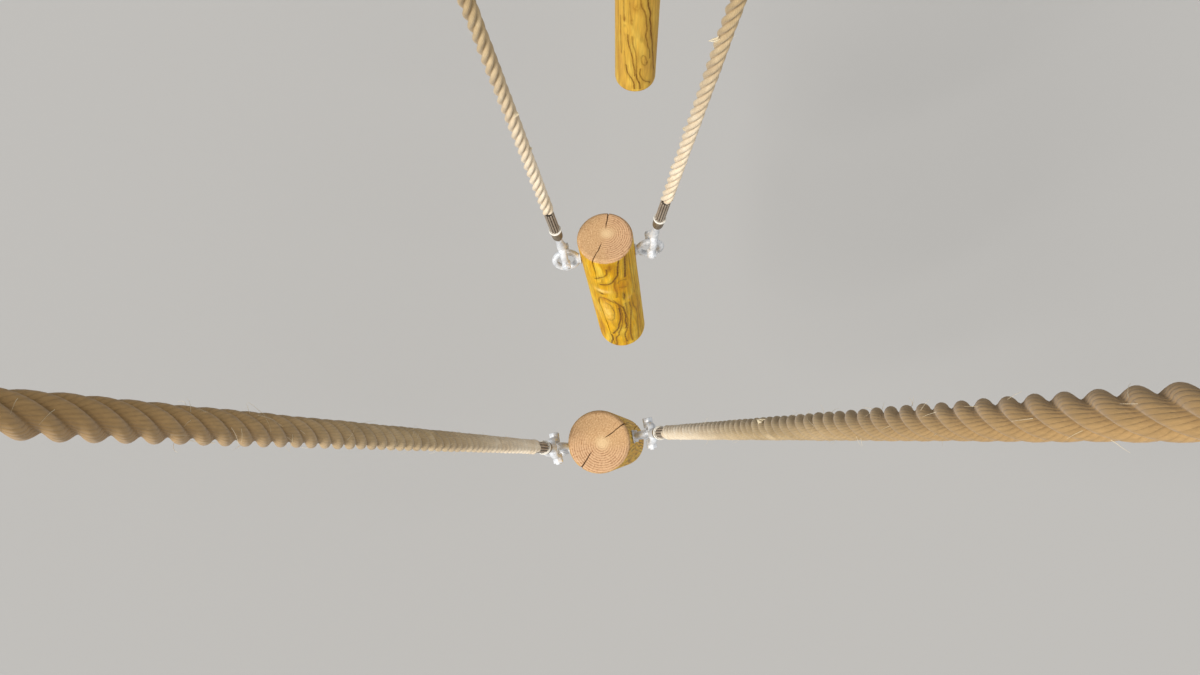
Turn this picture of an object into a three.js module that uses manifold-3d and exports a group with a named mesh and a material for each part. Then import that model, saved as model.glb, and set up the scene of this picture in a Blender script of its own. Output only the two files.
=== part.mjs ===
// Rope suspension footbridge: upright log steps, each hung in a V from two taut carrying cables.
// Units are millimetres. X runs across the bridge, Y along it and Z up.
// The origin is the centre of the near end beam's back face, at the height of the cables.
import * as THREE from "three";
import { mergeVertices } from "three/addons/utils/BufferGeometryUtils.js";
import Module from "manifold-3d";

const wasm = await Module();
wasm.setup();

// Driving dimensions
const PITCH = 535; // from one step to the next
const CABLE_HALF_SPACING = 195;
const STEP_DROP = 1100; // from the cables' axis down to the tops of the steps

// How each step hangs in the photograph: degrees swung forward, degrees twisted, and sway to the right
const HANGS = [
  { lean: 12.8, twist: 10.5, sway: -28 },
  { lean: 0, twist: 8, sway: -28 },
  { lean: 0, twist: 0, sway: 13 },
  { lean: 0, twist: 0, sway: 0 },
  { lean: 0, twist: 0, sway: 0 },
];

const LOG_RADIUS = 40;
const LOG_LENGTH = 360;
const LOG_TOP_CHAMFER = 4;
const LOG_FOOT_ROUNDING = 8;

const EYE_X = 62; // from the log's axis to the centre of a ring eye
const EYE_DROP = 55; // from the log's top to the ring eyes
const EYE_RING_RADIUS = 16.5; // middle of the ring's bar
const EYE_BAR_RADIUS = 4.6;
const EYE_TURNS = { left: -16, right: -4 }; // degrees that each ring is turned about the bolt
const EYE_BOLT_RADIUS = 5;
const EYE_WASHER_RADIUS = 9;
const EYE_WASHER_THICKNESS = 1.6;
const EYE_NUT_RADIUS = 8;

const ROPE_RADIUS = 8.25;
const FORK_PIN_RADIUS = 3.5;
const FORK_PIN_RISE = 7.6; // from the ring's centre up to the fork's pin
const FORK_PIN_HEAD_RADIUS = 7;
const FORK_PIN_HEAD_LENGTH = 6;
const FORK_LEG_RADIUS = 3.6;
const FORK_LEG_Y = 10.9;
const FORK_LEG_FOOT = -5;
const FORK_LEG_TOP = 16; // where the legs begin to draw together
const FORK_SHOULDER = 27;
const FORK_CROWN = 32;
const FORK_NECK_RADIUS = 4.6;
const FORK_LENGTH = 60; // from the pin to the collar
const COLLAR_LENGTH = 23;
const COLLAR_RADIUS = 7.9;
const COLLAR_FOOT_RADIUS = 5.2;
const COLLAR_FOOT_LENGTH = 5;
const RIM_LENGTH = 3;
const RIM_RADIUS = 8.8;
const FERRULE_LENGTH = 52;
const FERRULE_RADIUS = 6.9;

const CABLE_RADIUS = 6;
const HANGER_PIN_DROP = 45; // from the cable's axis to the hanger pin
const HANGER_PIN_RADIUS = 6;
const LOOP_HOLE_RADIUS = 12;
const LOOP_PRESS_LENGTH = 45;
const LOOP_PRESS_RADIUS = 12;
const LOOP_PRESS_GAP = 4; // between the loop and its press sleeve

const CLAMP_HALF_WIDTH = 18;
const CLAMP_INNER_HALF_WIDTH = 12;
const CLAMP_HALF_HEIGHT = 17;
const CLAMP_LENGTH = 30; // along the cable
const CLAMP_CHEEK_END = 56; // below the cable's axis
const CLAMP_CORNER = 4;
const HANGER_NUT_RADIUS = 10;
const HANGER_NUT_LENGTH = 8;

const BEAM_LENGTH = 600;
const BEAM_DEPTH = 100;
const BEAM_HEIGHT = 140;
const BEAM_CHAMFER = 6;
const RECESS_DEPTH = 18;
const RECESS_RADIUS = 20;

const NEAR_EYE_DISTANCE = 190; // from the beam's front to the cable's eye
const FAR_EYE_DISTANCE = 75;
const TURNBUCKLE_LENGTH = 100;
const FORK_BOSS_LENGTH = 12;
const ANCHOR_BODY_RADIUS = 13;
const STUD_RADIUS = 7;
const STUD_END = 4; // inside the beam's back face
const STUD_NUT_RADIUS = 12;
const STUD_NUT_LENGTH = 10;
const STUD_WASHER_RADIUS = 16;
const STUD_WASHER_THICKNESS = 3;
const ANCHOR_FORK_REACH = 34; // from the fork's crown to its pin
const ANCHOR_CHEEK_LENGTH = 46;
const ANCHOR_CHEEK_THICKNESS = 8;
const ANCHOR_CHEEK_WIDTH = 30;
const ANCHOR_CHEEK_GAP = 2; // beside the cable's eye
const ANCHOR_CROWN_LENGTH = 9;
const ANCHOR_NUT_RADIUS = 11;
const ANCHOR_NUT_LENGTH = 8;
const ANCHOR_PIN_RADIUS = 7;
const CABLE_EYE_RADIUS = 17;
const CABLE_EYE_THICKNESS = 14;
const SLEEVE_RADIUS = 10;
const SLEEVE_LENGTH = 75;
const GAP = 0.3; // between touching pieces

const SIDES = [
  ["left", -1],
  ["right", 1],
];

// Worked-out places
const FIRST_STEP_Y = BEAM_DEPTH + PITCH;
const FAR_FRONT_Y = FIRST_STEP_Y + HANGS.length * PITCH;
const BRIDGE_LENGTH = FAR_FRONT_Y + BEAM_DEPTH;
const NEAR_EYE_Y = BEAM_DEPTH + NEAR_EYE_DISTANCE;
const FAR_EYE_Y = FAR_FRONT_Y - FAR_EYE_DISTANCE;
const EYE_Z = -STEP_DROP - EYE_DROP;
const ROPE_SLANT = CABLE_HALF_SPACING - EYE_X; // sideways run of a rope
const HANG_ANGLE = Math.atan2(ROPE_SLANT, -EYE_Z);
const PIN_X = CABLE_HALF_SPACING - HANGER_PIN_DROP * Math.sin(HANG_ANGLE);
const PIN_Z = -HANGER_PIN_DROP * Math.cos(HANG_ANGLE);
const TILT_PER_SWAY = ROPE_SLANT / (-EYE_Z * EYE_X); // both ropes keep their length

// Materials
const finish = (color, roughness, metalness) =>
  new THREE.MeshStandardMaterial({ color, roughness, metalness });
const PINE = finish(0xc08a2c, 0.8, 0);
const ROPE = finish(0xcdbd98, 0.95, 0);
const GALVANISED = finish(0xb9bcc0, 0.4, 0.9);
const CABLE_STEEL = finish(0x8d9093, 0.45, 0.9);

// Solids: three.js makes each shape, and the solids are joined and cut as closed bodies
function solid(geometry) {
  const bare = geometry.clone();
  bare.deleteAttribute("normal");
  bare.deleteAttribute("uv");
  const merged = mergeVertices(bare, 1e-4);
  return new wasm.Manifold(
    new wasm.Mesh({
      numProp: 3,
      vertProperties: merged.attributes.position.array,
      triVerts: new Uint32Array(merged.index.array),
    }),
  );
}

const join = (...geometries) => geometries.map(solid).reduce((all, one) => all.add(one));

const cut = (body, ...holes) => holes.map(solid).reduce((left, hole) => left.subtract(hole), body);

function toGeometry(body) {
  const mesh = body.getMesh();
  const geometry = new THREE.BufferGeometry();
  geometry.setAttribute("position", new THREE.BufferAttribute(mesh.vertProperties, 3));
  geometry.setIndex(new THREE.BufferAttribute(mesh.triVerts, 1));
  geometry.computeVertexNormals();
  return geometry;
}

// A round bar between two heights on the local Z axis
function bar(radius, low, high, sides = 10) {
  const shape = new THREE.CylinderGeometry(radius, radius, high - low, sides);
  return shape.rotateX(Math.PI / 2).translate(0, 0, (low + high) / 2);
}

const barX = (radius, low, high, sides = 10) => bar(radius, low, high, sides).rotateY(Math.PI / 2);

const barY = (radius, low, high, sides = 10) => bar(radius, low, high, sides).rotateX(-Math.PI / 2);

// A turned shape about the local Z axis, from points of radius and height that run upwards
function turned(points, sides) {
  const profile = points.map(([radius, height]) => new THREE.Vector2(radius, height));
  return new THREE.LatheGeometry(profile, sides).rotateX(Math.PI / 2);
}

// A ring about the local Z axis
const ring = (radius, barRadius, around = 16, section = 6) =>
  new THREE.TorusGeometry(radius, barRadius, section, around);

// Steps, each made about the centre of its eye bolt
function logGeometry() {
  const top = EYE_DROP;
  const foot = top - LOG_LENGTH;
  const log = turned(
    [
      [0, foot],
      [LOG_RADIUS - LOG_FOOT_ROUNDING, foot],
      [LOG_RADIUS - LOG_FOOT_ROUNDING / 3, foot + LOG_FOOT_ROUNDING / 3],
      [LOG_RADIUS, foot + LOG_FOOT_ROUNDING],
      [LOG_RADIUS, top - LOG_TOP_CHAMFER],
      [LOG_RADIUS - LOG_TOP_CHAMFER, top],
      [0, top],
    ],
    24,
  );
  const bore = barX(EYE_BOLT_RADIUS + 2 * GAP, -EYE_X, EYE_X);
  return toGeometry(cut(solid(log), bore));
}

function eyeBoltGeometry() {
  const end = EYE_X - EYE_RING_RADIUS;
  const pieces = [barX(EYE_BOLT_RADIUS, -end, end)];
  for (const [word, side] of SIDES) {
    const eye = ring(EYE_RING_RADIUS, EYE_BAR_RADIUS).rotateX(Math.PI / 2);
    eye.rotateX(THREE.MathUtils.degToRad(EYE_TURNS[word]));
    const near = LOG_RADIUS + GAP;
    const washer = barX(EYE_WASHER_RADIUS, near, near + EYE_WASHER_THICKNESS);
    const nut = barX(EYE_NUT_RADIUS, near + EYE_WASHER_THICKNESS - GAP, end + 1, 6);
    pieces.push(eye.translate(side * EYE_X, 0, 0));
    pieces.push(side > 0 ? washer : washer.rotateY(Math.PI));
    pieces.push(side > 0 ? nut : nut.rotateY(Math.PI));
  }
  return toGeometry(join(...pieces));
}

// Where a step's eye bolt hangs under its cables before the step is swung forward
function boltPlace({ twist, sway }) {
  const turn = new THREE.Euler(0, sway * TILT_PER_SWAY, THREE.MathUtils.degToRad(twist), "ZYX");
  return new THREE.Matrix4().makeRotationFromEuler(turn).setPosition(sway, 0, EYE_Z);
}

// The line of a rope, from its fork's pin inside the ring eye to its hanger pin
function ropeEnds(bolt, word, side) {
  const eye = new THREE.Vector3(side * EYE_X, 0, 0).applyMatrix4(bolt);
  const pin = new THREE.Vector3(side * PIN_X, 0, PIN_Z);
  const turn = THREE.MathUtils.degToRad(EYE_TURNS[word]);
  const ringAxis = new THREE.Vector3(0, Math.cos(turn), Math.sin(turn)).transformDirection(bolt);
  const pull = pin.clone().sub(eye).projectOnPlane(ringAxis).normalize();
  return [eye.addScaledVector(pull, FORK_PIN_RISE), pin];
}

// Turns Z along the line, and Y as near as that allows to the given direction
function alongLine([start, end], crosswise) {
  const z = end.clone().sub(start).normalize();
  const x = crosswise.clone().cross(z).normalize();
  const y = z.clone().cross(x);
  return new THREE.Matrix4().makeBasis(x, y, z).setPosition(start);
}

// Ribbed ferrule, rim, collar and fork with its pin
function endFittingGeometry() {
  const rimBase = FORK_LENGTH + COLLAR_LENGTH;
  const ferruleTop = rimBase + RIM_LENGTH + FERRULE_LENGTH;
  const body = turned(
    [
      [0, FORK_LENGTH],
      [COLLAR_FOOT_RADIUS, FORK_LENGTH],
      [COLLAR_RADIUS, FORK_LENGTH + COLLAR_FOOT_LENGTH],
      [COLLAR_RADIUS, rimBase],
      [RIM_RADIUS, rimBase],
      [RIM_RADIUS, rimBase + RIM_LENGTH],
      [FERRULE_RADIUS, rimBase + RIM_LENGTH],
      [FERRULE_RADIUS, ferruleTop],
      [0, ferruleTop],
    ],
    10,
  );
  const leg = [
    [FORK_LEG_Y, FORK_LEG_FOOT],
    [FORK_LEG_Y, FORK_LEG_TOP / 2],
    [FORK_LEG_Y, FORK_LEG_TOP],
    [FORK_LEG_Y * 0.7, FORK_SHOULDER],
  ];
  const near = leg.map(([y, z]) => new THREE.Vector3(0, -y, z));
  const far = leg.map(([y, z]) => new THREE.Vector3(0, y, z)).reverse();
  const crown = new THREE.Vector3(0, 0, FORK_CROWN);
  const bow = new THREE.CatmullRomCurve3([...near, crown, ...far]);
  const section = new THREE.Shape();
  section.absarc(0, 0, FORK_LEG_RADIUS, 0, 2 * Math.PI, false);
  const fork = new THREE.ExtrudeGeometry(section, {
    steps: 8,
    curveSegments: 3,
    bevelEnabled: false,
    extrudePath: bow,
  });
  const neck = bar(FORK_NECK_RADIUS, FORK_CROWN, FORK_LENGTH + 1);
  const outer = FORK_LEG_Y + FORK_LEG_RADIUS;
  const end = outer + FORK_PIN_HEAD_LENGTH;
  const pin = barY(FORK_PIN_RADIUS, -end, end, 8);
  const head = barY(FORK_PIN_HEAD_RADIUS, outer - GAP, end, 6);
  const nut = barY(FORK_PIN_HEAD_RADIUS, -end, GAP - outer, 6);
  return toGeometry(join(body, fork, neck, pin, head, nut));
}

// Rope from the ferrule up to its loop on the hanger pin
function ropeGeometry(length) {
  const low = FORK_LENGTH + COLLAR_LENGTH + RIM_LENGTH + FERRULE_LENGTH + GAP;
  const loopCentre = length + HANGER_PIN_RADIUS + GAP - LOOP_HOLE_RADIUS;
  const loopRadius = LOOP_HOLE_RADIUS + ROPE_RADIUS;
  const pressTop = loopCentre - loopRadius - LOOP_PRESS_GAP;
  const rope = bar(ROPE_RADIUS, low, loopCentre - loopRadius + 2);
  const press = bar(LOOP_PRESS_RADIUS, pressTop - LOOP_PRESS_LENGTH, pressTop);
  const loop = ring(loopRadius, ROPE_RADIUS, 12, 6).rotateY(Math.PI / 2).translate(0, 0, loopCentre);
  return toGeometry(join(rope, press, loop));
}

// Carrying cables and what holds them
function clampGeometry(side) {
  const w = CLAMP_HALF_WIDTH;
  const inner = CLAMP_INNER_HALF_WIDTH;
  const h = CLAMP_HALF_HEIGHT;
  const profile = new THREE.Shape();
  profile.moveTo(-w, -CLAMP_CHEEK_END);
  profile.lineTo(-inner, -CLAMP_CHEEK_END);
  profile.lineTo(-inner, -h);
  profile.lineTo(inner, -h);
  profile.lineTo(inner, -CLAMP_CHEEK_END);
  profile.lineTo(w, -CLAMP_CHEEK_END);
  profile.lineTo(w, h - CLAMP_CORNER);
  profile.lineTo(w - CLAMP_CORNER, h);
  profile.lineTo(CLAMP_CORNER - w, h);
  profile.lineTo(-w, h - CLAMP_CORNER);
  profile.closePath();
  const bore = new THREE.Path();
  bore.absarc(0, 0, CABLE_RADIUS + 2 * GAP, 0, 2 * Math.PI, true);
  profile.holes.push(bore);
  const body = new THREE.ExtrudeGeometry(profile, {
    depth: CLAMP_LENGTH,
    curveSegments: 6,
    bevelEnabled: false,
  });
  body.translate(0, 0, -CLAMP_LENGTH / 2).rotateX(Math.PI / 2);
  const end = w + HANGER_NUT_LENGTH;
  const pin = barX(HANGER_PIN_RADIUS, -end, end);
  const head = barX(HANGER_NUT_RADIUS, w - 1, end, 6);
  const nut = barX(HANGER_NUT_RADIUS, -end, 1 - w, 6);
  const fixed = [pin, head, nut].map((piece) => piece.translate(0, 0, -HANGER_PIN_DROP));
  return toGeometry(join(body, ...fixed)).rotateY(side * HANG_ANGLE);
}

function cableGeometry() {
  const cable = barY(CABLE_RADIUS, NEAR_EYE_Y + CABLE_EYE_RADIUS, FAR_EYE_Y - CABLE_EYE_RADIUS);
  const pieces = [cable];
  for (const [eyeY, way] of [
    [NEAR_EYE_Y, 1],
    [FAR_EYE_Y, -1],
  ]) {
    const near = eyeY + way * (CABLE_EYE_RADIUS - 4);
    const far = near + way * SLEEVE_LENGTH;
    pieces.push(barY(SLEEVE_RADIUS, Math.min(near, far), Math.max(near, far)));
    const half = CABLE_EYE_THICKNESS / 2;
    pieces.push(barX(CABLE_EYE_RADIUS, -half, half, 20).translate(0, eyeY, 0));
  }
  const holes = [NEAR_EYE_Y, FAR_EYE_Y].map((y) =>
    barX(ANCHOR_PIN_RADIUS + 2 * GAP, -SLEEVE_RADIUS, SLEEVE_RADIUS).translate(0, y, 0),
  );
  return toGeometry(cut(join(...pieces), ...holes));
}

// A fork bolt through a beam, made for the near end: stud, nuts, body and fork with its pin
function anchorGeometry(eyeDistance, bodyLength) {
  const front = BEAM_DEPTH + GAP;
  const back = RECESS_DEPTH - GAP;
  const forkBase = BEAM_DEPTH + eyeDistance - ANCHOR_FORK_REACH;
  const frontNut = front + STUD_WASHER_THICKNESS;
  const backNut = back - STUD_WASHER_THICKNESS;
  const pieces = [
    barY(STUD_RADIUS, STUD_END, forkBase + 1),
    barY(STUD_WASHER_RADIUS, backNut, back),
    barY(STUD_NUT_RADIUS, backNut - STUD_NUT_LENGTH, backNut + 1, 6),
    barY(STUD_WASHER_RADIUS, front, frontNut),
    barY(STUD_NUT_RADIUS, frontNut - 1, frontNut + STUD_NUT_LENGTH, 6),
    barY(ANCHOR_BODY_RADIUS, forkBase - bodyLength, forkBase),
  ];
  const cheek = CABLE_EYE_THICKNESS / 2 + ANCHOR_CHEEK_GAP;
  const outer = cheek + ANCHOR_CHEEK_THICKNESS;
  const crown = new THREE.BoxGeometry(2 * outer, ANCHOR_CROWN_LENGTH + 1, ANCHOR_CHEEK_WIDTH);
  pieces.push(crown.translate(0, forkBase + (ANCHOR_CROWN_LENGTH - 1) / 2, 0));
  for (const side of [-1, 1]) {
    const plate = new THREE.BoxGeometry(ANCHOR_CHEEK_THICKNESS, ANCHOR_CHEEK_LENGTH, ANCHOR_CHEEK_WIDTH);
    const x = side * (cheek + ANCHOR_CHEEK_THICKNESS / 2);
    pieces.push(plate.translate(x, forkBase + ANCHOR_CHEEK_LENGTH / 2, 0));
  }
  const pinEnd = outer + ANCHOR_NUT_LENGTH;
  const fixed = [
    barX(ANCHOR_PIN_RADIUS, -pinEnd, pinEnd),
    barX(ANCHOR_NUT_RADIUS, outer - 1, pinEnd, 6),
    barX(ANCHOR_NUT_RADIUS, -pinEnd, 1 - outer, 6),
  ];
  pieces.push(...fixed.map((piece) => piece.translate(0, BEAM_DEPTH + eyeDistance, 0)));
  return toGeometry(join(...pieces));
}

function beamGeometry() {
  const y = BEAM_DEPTH / 2;
  const z = BEAM_HEIGHT / 2;
  const c = BEAM_CHAMFER;
  const profile = new THREE.Shape();
  profile.moveTo(-y + c, -z);
  profile.lineTo(y - c, -z);
  profile.lineTo(y, -z + c);
  profile.lineTo(y, z - c);
  profile.lineTo(y - c, z);
  profile.lineTo(-y + c, z);
  profile.lineTo(-y, z - c);
  profile.lineTo(-y, -z + c);
  profile.closePath();
  const body = new THREE.ExtrudeGeometry(profile, { depth: BEAM_LENGTH, bevelEnabled: false });
  body.translate(0, 0, -BEAM_LENGTH / 2).rotateY(Math.PI / 2).rotateX(Math.PI / 2);
  body.translate(0, BEAM_DEPTH / 2, 0);
  const holes = [];
  for (const side of [-1, 1]) {
    const x = side * CABLE_HALF_SPACING;
    holes.push(barY(STUD_RADIUS + 2 * GAP, -1, BEAM_DEPTH + 1).translate(x, 0, 0));
    holes.push(barY(RECESS_RADIUS, -1, RECESS_DEPTH, 20).translate(x, 0, 0));
  }
  return toGeometry(cut(solid(body), ...holes));
}

// Assembly
const bridge = new THREE.Group();

function add(parent, name, geometry, material) {
  const mesh = new THREE.Mesh(geometry, material);
  mesh.name = name;
  parent.add(mesh);
  return mesh;
}

const ALONG_BRIDGE = new THREE.Vector3(0, 1, 0);

HANGS.forEach((hang, i) => {
  const y = FIRST_STEP_Y + i * PITCH;
  const name = "step_" + (i + 1);
  const swing = new THREE.Group();
  swing.position.set(0, y, PIN_Z);
  swing.rotation.x = THREE.MathUtils.degToRad(hang.lean);
  const step = new THREE.Group();
  step.position.z = -PIN_Z;
  swing.add(step);
  bridge.add(swing);
  const bolt = boltPlace(hang);
  const alongFork = ALONG_BRIDGE.clone().transformDirection(bolt);
  add(step, name + "_log", logGeometry().applyMatrix4(bolt), PINE);
  add(step, name + "_eye_bolt", eyeBoltGeometry().applyMatrix4(bolt), GALVANISED);
  for (const [word, side] of SIDES) {
    const line = ropeEnds(bolt, word, side);
    const rope = ropeGeometry(line[0].distanceTo(line[1]));
    add(step, name + "_" + word + "_rope", rope.applyMatrix4(alongLine(line, ALONG_BRIDGE)), ROPE);
    const fitting = endFittingGeometry().applyMatrix4(alongLine(line, alongFork));
    add(step, name + "_" + word + "_end_fitting", fitting, GALVANISED);
    const clamp = add(bridge, name + "_" + word + "_cable_clamp", clampGeometry(side), GALVANISED);
    clamp.position.set(side * CABLE_HALF_SPACING, y, 0);
  }
});

for (const [word, side] of SIDES) {
  const x = side * CABLE_HALF_SPACING;
  const cable = add(bridge, word + "_carrying_cable", cableGeometry(), CABLE_STEEL);
  cable.position.x = x;
  const near = anchorGeometry(NEAR_EYE_DISTANCE, TURNBUCKLE_LENGTH);
  add(bridge, "near_" + word + "_turnbuckle", near, GALVANISED).position.x = x;
  const far = anchorGeometry(FAR_EYE_DISTANCE, FORK_BOSS_LENGTH);
  const farAnchor = add(bridge, "far_" + word + "_fork_bolt", far, GALVANISED);
  farAnchor.position.set(x, BRIDGE_LENGTH, 0);
  farAnchor.rotation.z = Math.PI;
}

add(bridge, "near_end_beam", beamGeometry(), PINE);
const farBeam = add(bridge, "far_end_beam", beamGeometry(), PINE);
farBeam.position.y = BRIDGE_LENGTH;
farBeam.rotation.z = Math.PI;

export default bridge;
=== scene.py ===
import math
import random

import bmesh
import bpy
import numpy as np
from mathutils import Matrix, Vector, noise


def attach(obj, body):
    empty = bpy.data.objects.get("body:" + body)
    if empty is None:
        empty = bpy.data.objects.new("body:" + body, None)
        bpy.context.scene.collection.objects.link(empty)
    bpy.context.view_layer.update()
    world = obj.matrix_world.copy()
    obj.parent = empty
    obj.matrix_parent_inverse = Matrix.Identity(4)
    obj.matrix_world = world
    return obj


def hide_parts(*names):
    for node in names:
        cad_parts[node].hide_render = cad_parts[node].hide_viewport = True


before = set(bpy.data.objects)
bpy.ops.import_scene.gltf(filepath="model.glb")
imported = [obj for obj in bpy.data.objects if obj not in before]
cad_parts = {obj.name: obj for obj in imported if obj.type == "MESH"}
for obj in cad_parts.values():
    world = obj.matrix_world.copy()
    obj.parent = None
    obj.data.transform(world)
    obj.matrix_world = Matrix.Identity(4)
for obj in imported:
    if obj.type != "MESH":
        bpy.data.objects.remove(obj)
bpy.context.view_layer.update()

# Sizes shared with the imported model
STEP_COUNT = 5
PITCH = 0.535
CABLE_X = 0.195
STEP_DROP = 1.100
LOG_RADIUS = 0.040
LOG_LENGTH = 0.360
LOG_CHAMFER = 0.004
LOG_FOOT_ROUNDING = 0.008
EYE_X = 0.062
EYE_DROP = 0.055
EYE_RING_RADIUS = 0.0165
EYE_BAR_RADIUS = 0.0046
EYE_TURNS = {"left": math.radians(-16), "right": math.radians(-4)}
EYE_BOLT_RADIUS = 0.005
EYE_WASHER_RADIUS = 0.009
EYE_NUT_RADIUS = 0.008
ROPE_RADIUS = 0.00825
FORK_PIN_RADIUS = 0.0035
FORK_PIN_RISE = 0.0076
FORK_PIN_HEAD_RADIUS = 0.007
FORK_PIN_HEAD_LENGTH = 0.006
FORK_LEG_RADIUS = 0.0036
FORK_LEG_Y = 0.0109
FORK_LENGTH = 0.060
COLLAR_LENGTH = 0.023
COLLAR_RADIUS = 0.0079
COLLAR_FOOT_RADIUS = 0.0052
RIM_LENGTH = 0.003
RIM_RADIUS = 0.0088
FERRULE_LENGTH = 0.052
FERRULE_RADIUS = 0.0069
CABLE_RADIUS = 0.006
HANGER_PIN_DROP = 0.045
HANGER_PIN_RADIUS = 0.006
THIMBLE_RADIUS = 0.010
LOOP_HOLE_RADIUS = 0.012
PRESS_LENGTH = 0.045
CLAMP_HALF_WIDTH = 0.018
CLAMP_INNER_HALF_WIDTH = 0.012
CLAMP_TOP = 0.024
CLAMP_UNDERSIDE = 0.017
CLAMP_LENGTH = 0.040
CLAMP_CHEEK_END = 0.056
BEAM_LENGTH = 0.600
BEAM_DEPTH = 0.100
RECESS_DEPTH = 0.018
STUD_RADIUS = 0.007
ANCHOR_PIN_RADIUS = 0.007
CABLE_EYE_RADIUS = 0.017
CABLE_EYE_THICKNESS = 0.014
SLEEVE_RADIUS = 0.010
SLEEVE_LENGTH = 0.075
NEAR_REACH = 0.190
FAR_REACH = 0.075
NEAR_EYE_Y = BEAM_DEPTH + NEAR_REACH
FAR_FRONT_Y = BEAM_DEPTH + PITCH * (STEP_COUNT + 1)
FAR_EYE_Y = FAR_FRONT_Y - FAR_REACH
BRIDGE_LENGTH = FAR_FRONT_Y + BEAM_DEPTH
GAP = 0.0003
FULL_TURN = 2 * math.pi

EYE_Z = -STEP_DROP - EYE_DROP
ROPE_SLANT = CABLE_X - EYE_X
HANG_ANGLE = math.atan2(ROPE_SLANT, -EYE_Z)
PIN_X = CABLE_X - HANGER_PIN_DROP * math.sin(HANG_ANGLE)
PIN_Z = -HANGER_PIN_DROP * math.cos(HANG_ANGLE)
PIN_HEIGHT = math.hypot(ROPE_SLANT, EYE_Z) - HANGER_PIN_DROP - FORK_PIN_RISE
TILT_PER_SWAY = ROPE_SLANT / (-EYE_Z * EYE_X)
SIDES = (("left", -1), ("right", 1))

# How each step hangs: degrees swung forward, degrees twisted, and sway to the right
HANGS = ((12.8, 10.5, -0.028), (0, 8, -0.028), (0, 0, 0.013), (0, 0, 0), (0, 0, 0))
ROPE_LAY = 0.067
CABLE_LAY = 0.078

# Camera and view, for a picture 1200 wide and 675 high
CAMERA_PLACE = (0.0222, 0.6074, 0.0315)
CAMERA_TURN = (0.3493, 0.0415, 0.0226)
FOCAL_LENGTH_IN_WIDTHS = 0.7412
SENSOR_WIDTH = 36
FLOOR_Z = -2.3
LIGHT_AIM = Vector((0, 1.2, -1.2))


# Places
def move_by(x, y, z):
    return Matrix.Translation((x, y, z))


def half_turn(side):
    """No turn for the right side or the near end, and half a turn about Z for the other."""
    return Matrix.Rotation(0 if side > 0 else math.pi, 4, "Z")


ALONG_X = Matrix.Rotation(math.pi / 2, 4, "Y")
ALONG_Y = Matrix.Rotation(-math.pi / 2, 4, "X")


def step_y(index):
    return BEAM_DEPTH + PITCH * (index + 1)


def swing_place(index):
    """Swings what hangs under a pair of clamps, made at y = 0, forward and moves it to its step."""
    lean = Matrix.Rotation(math.radians(HANGS[index][0]), 4, "X")
    return move_by(0, step_y(index), PIN_Z) @ lean @ move_by(0, 0, -PIN_Z)


def bolt_place(index):
    """Where the middle of a step's eye bolt hangs before the step is swung."""
    _, twist, sway = HANGS[index]
    tilt = Matrix.Rotation(sway * TILT_PER_SWAY, 4, "Y")
    return move_by(sway, 0, EYE_Z) @ Matrix.Rotation(math.radians(twist), 4, "Z") @ tilt


def rope_line(index, word, side, crosswise):
    """From the fork's pin at 0 along Z to the hanger pin, and how far apart they are."""
    bolt = bolt_place(index)
    eye = bolt @ Vector((side * EYE_X, 0, 0))
    pin = Vector((side * PIN_X, 0, PIN_Z))
    turn = EYE_TURNS[word]
    ring_axis = bolt.to_3x3() @ Vector((0, math.cos(turn), math.sin(turn)))
    pull = pin - eye
    pull -= ring_axis * pull.dot(ring_axis)
    start = eye + pull.normalized() * FORK_PIN_RISE
    z = (pin - start).normalized()
    x = crosswise.cross(z).normalized()
    facing = Matrix((x, z.cross(x), z)).transposed().to_4x4()
    return swing_place(index) @ Matrix.Translation(start) @ facing, (pin - start).length


# Node helpers
class Wire:
    """A node's output. A sign between a wire and a wire or number adds the maths node for it."""

    def __init__(self, tree, socket):
        self.tree = tree
        self.socket = socket

    def __add__(self, other):
        return calc("ADD", self, other)

    def __sub__(self, other):
        return calc("SUBTRACT", self, other)

    def __rsub__(self, other):
        return calc("SUBTRACT", other, self)

    def __mul__(self, other):
        return calc("MULTIPLY", self, other)

    def __truediv__(self, other):
        return calc("DIVIDE", self, other)


def node(tree, kind, **settings):
    made = tree.nodes.new(kind)
    for name, value in settings.items():
        setattr(made, name, value)
    return made


def feed(socket, value):
    """Links a node's input to a wire, or sets its constant."""
    if isinstance(value, Wire):
        value.tree.links.new(value.socket, socket)
    else:
        socket.default_value = value


def tree_of(values):
    return next(value.tree for value in values if isinstance(value, Wire))


def add_node(kind, inputs, output=0, **settings):
    """Adds a node to the tree that its inputs come from, and returns one of its outputs."""
    tree = tree_of(inputs.values())
    made = node(tree, kind, **settings)
    for key, value in inputs.items():
        feed(made.inputs[key], value)
    return Wire(tree, made.outputs[output])


def calc(operation, *values, clamp=False):
    return add_node("ShaderNodeMath", dict(enumerate(values)), operation=operation, use_clamp=clamp)


def calc_vector(operation, *values):
    output = "Value" if operation in ("LENGTH", "DOT_PRODUCT") else "Vector"
    return add_node("ShaderNodeVectorMath", dict(enumerate(values)), output, operation=operation)


def stretch(vector, *scale):
    return calc_vector("MULTIPLY", vector, scale)


def split(vector):
    """The X, Y and Z of a vector, or the red, green and blue of a colour."""
    made = node(vector.tree, "ShaderNodeSeparateXYZ")
    feed(made.inputs[0], vector)
    return [Wire(vector.tree, socket) for socket in made.outputs]


def noise_value(vector, detail=2.0, roughness=0.5, scale=1.0):
    inputs = {"Vector": vector, "Scale": scale, "Detail": detail, "Roughness": roughness}
    return add_node("ShaderNodeTexNoise", inputs)


def grain_noise(place, across, along, **settings):
    """Noise with one scale along Z, as the grain or the yarn runs, and another across it."""
    return noise_value(stretch(place, across, across, along), **settings)


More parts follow.
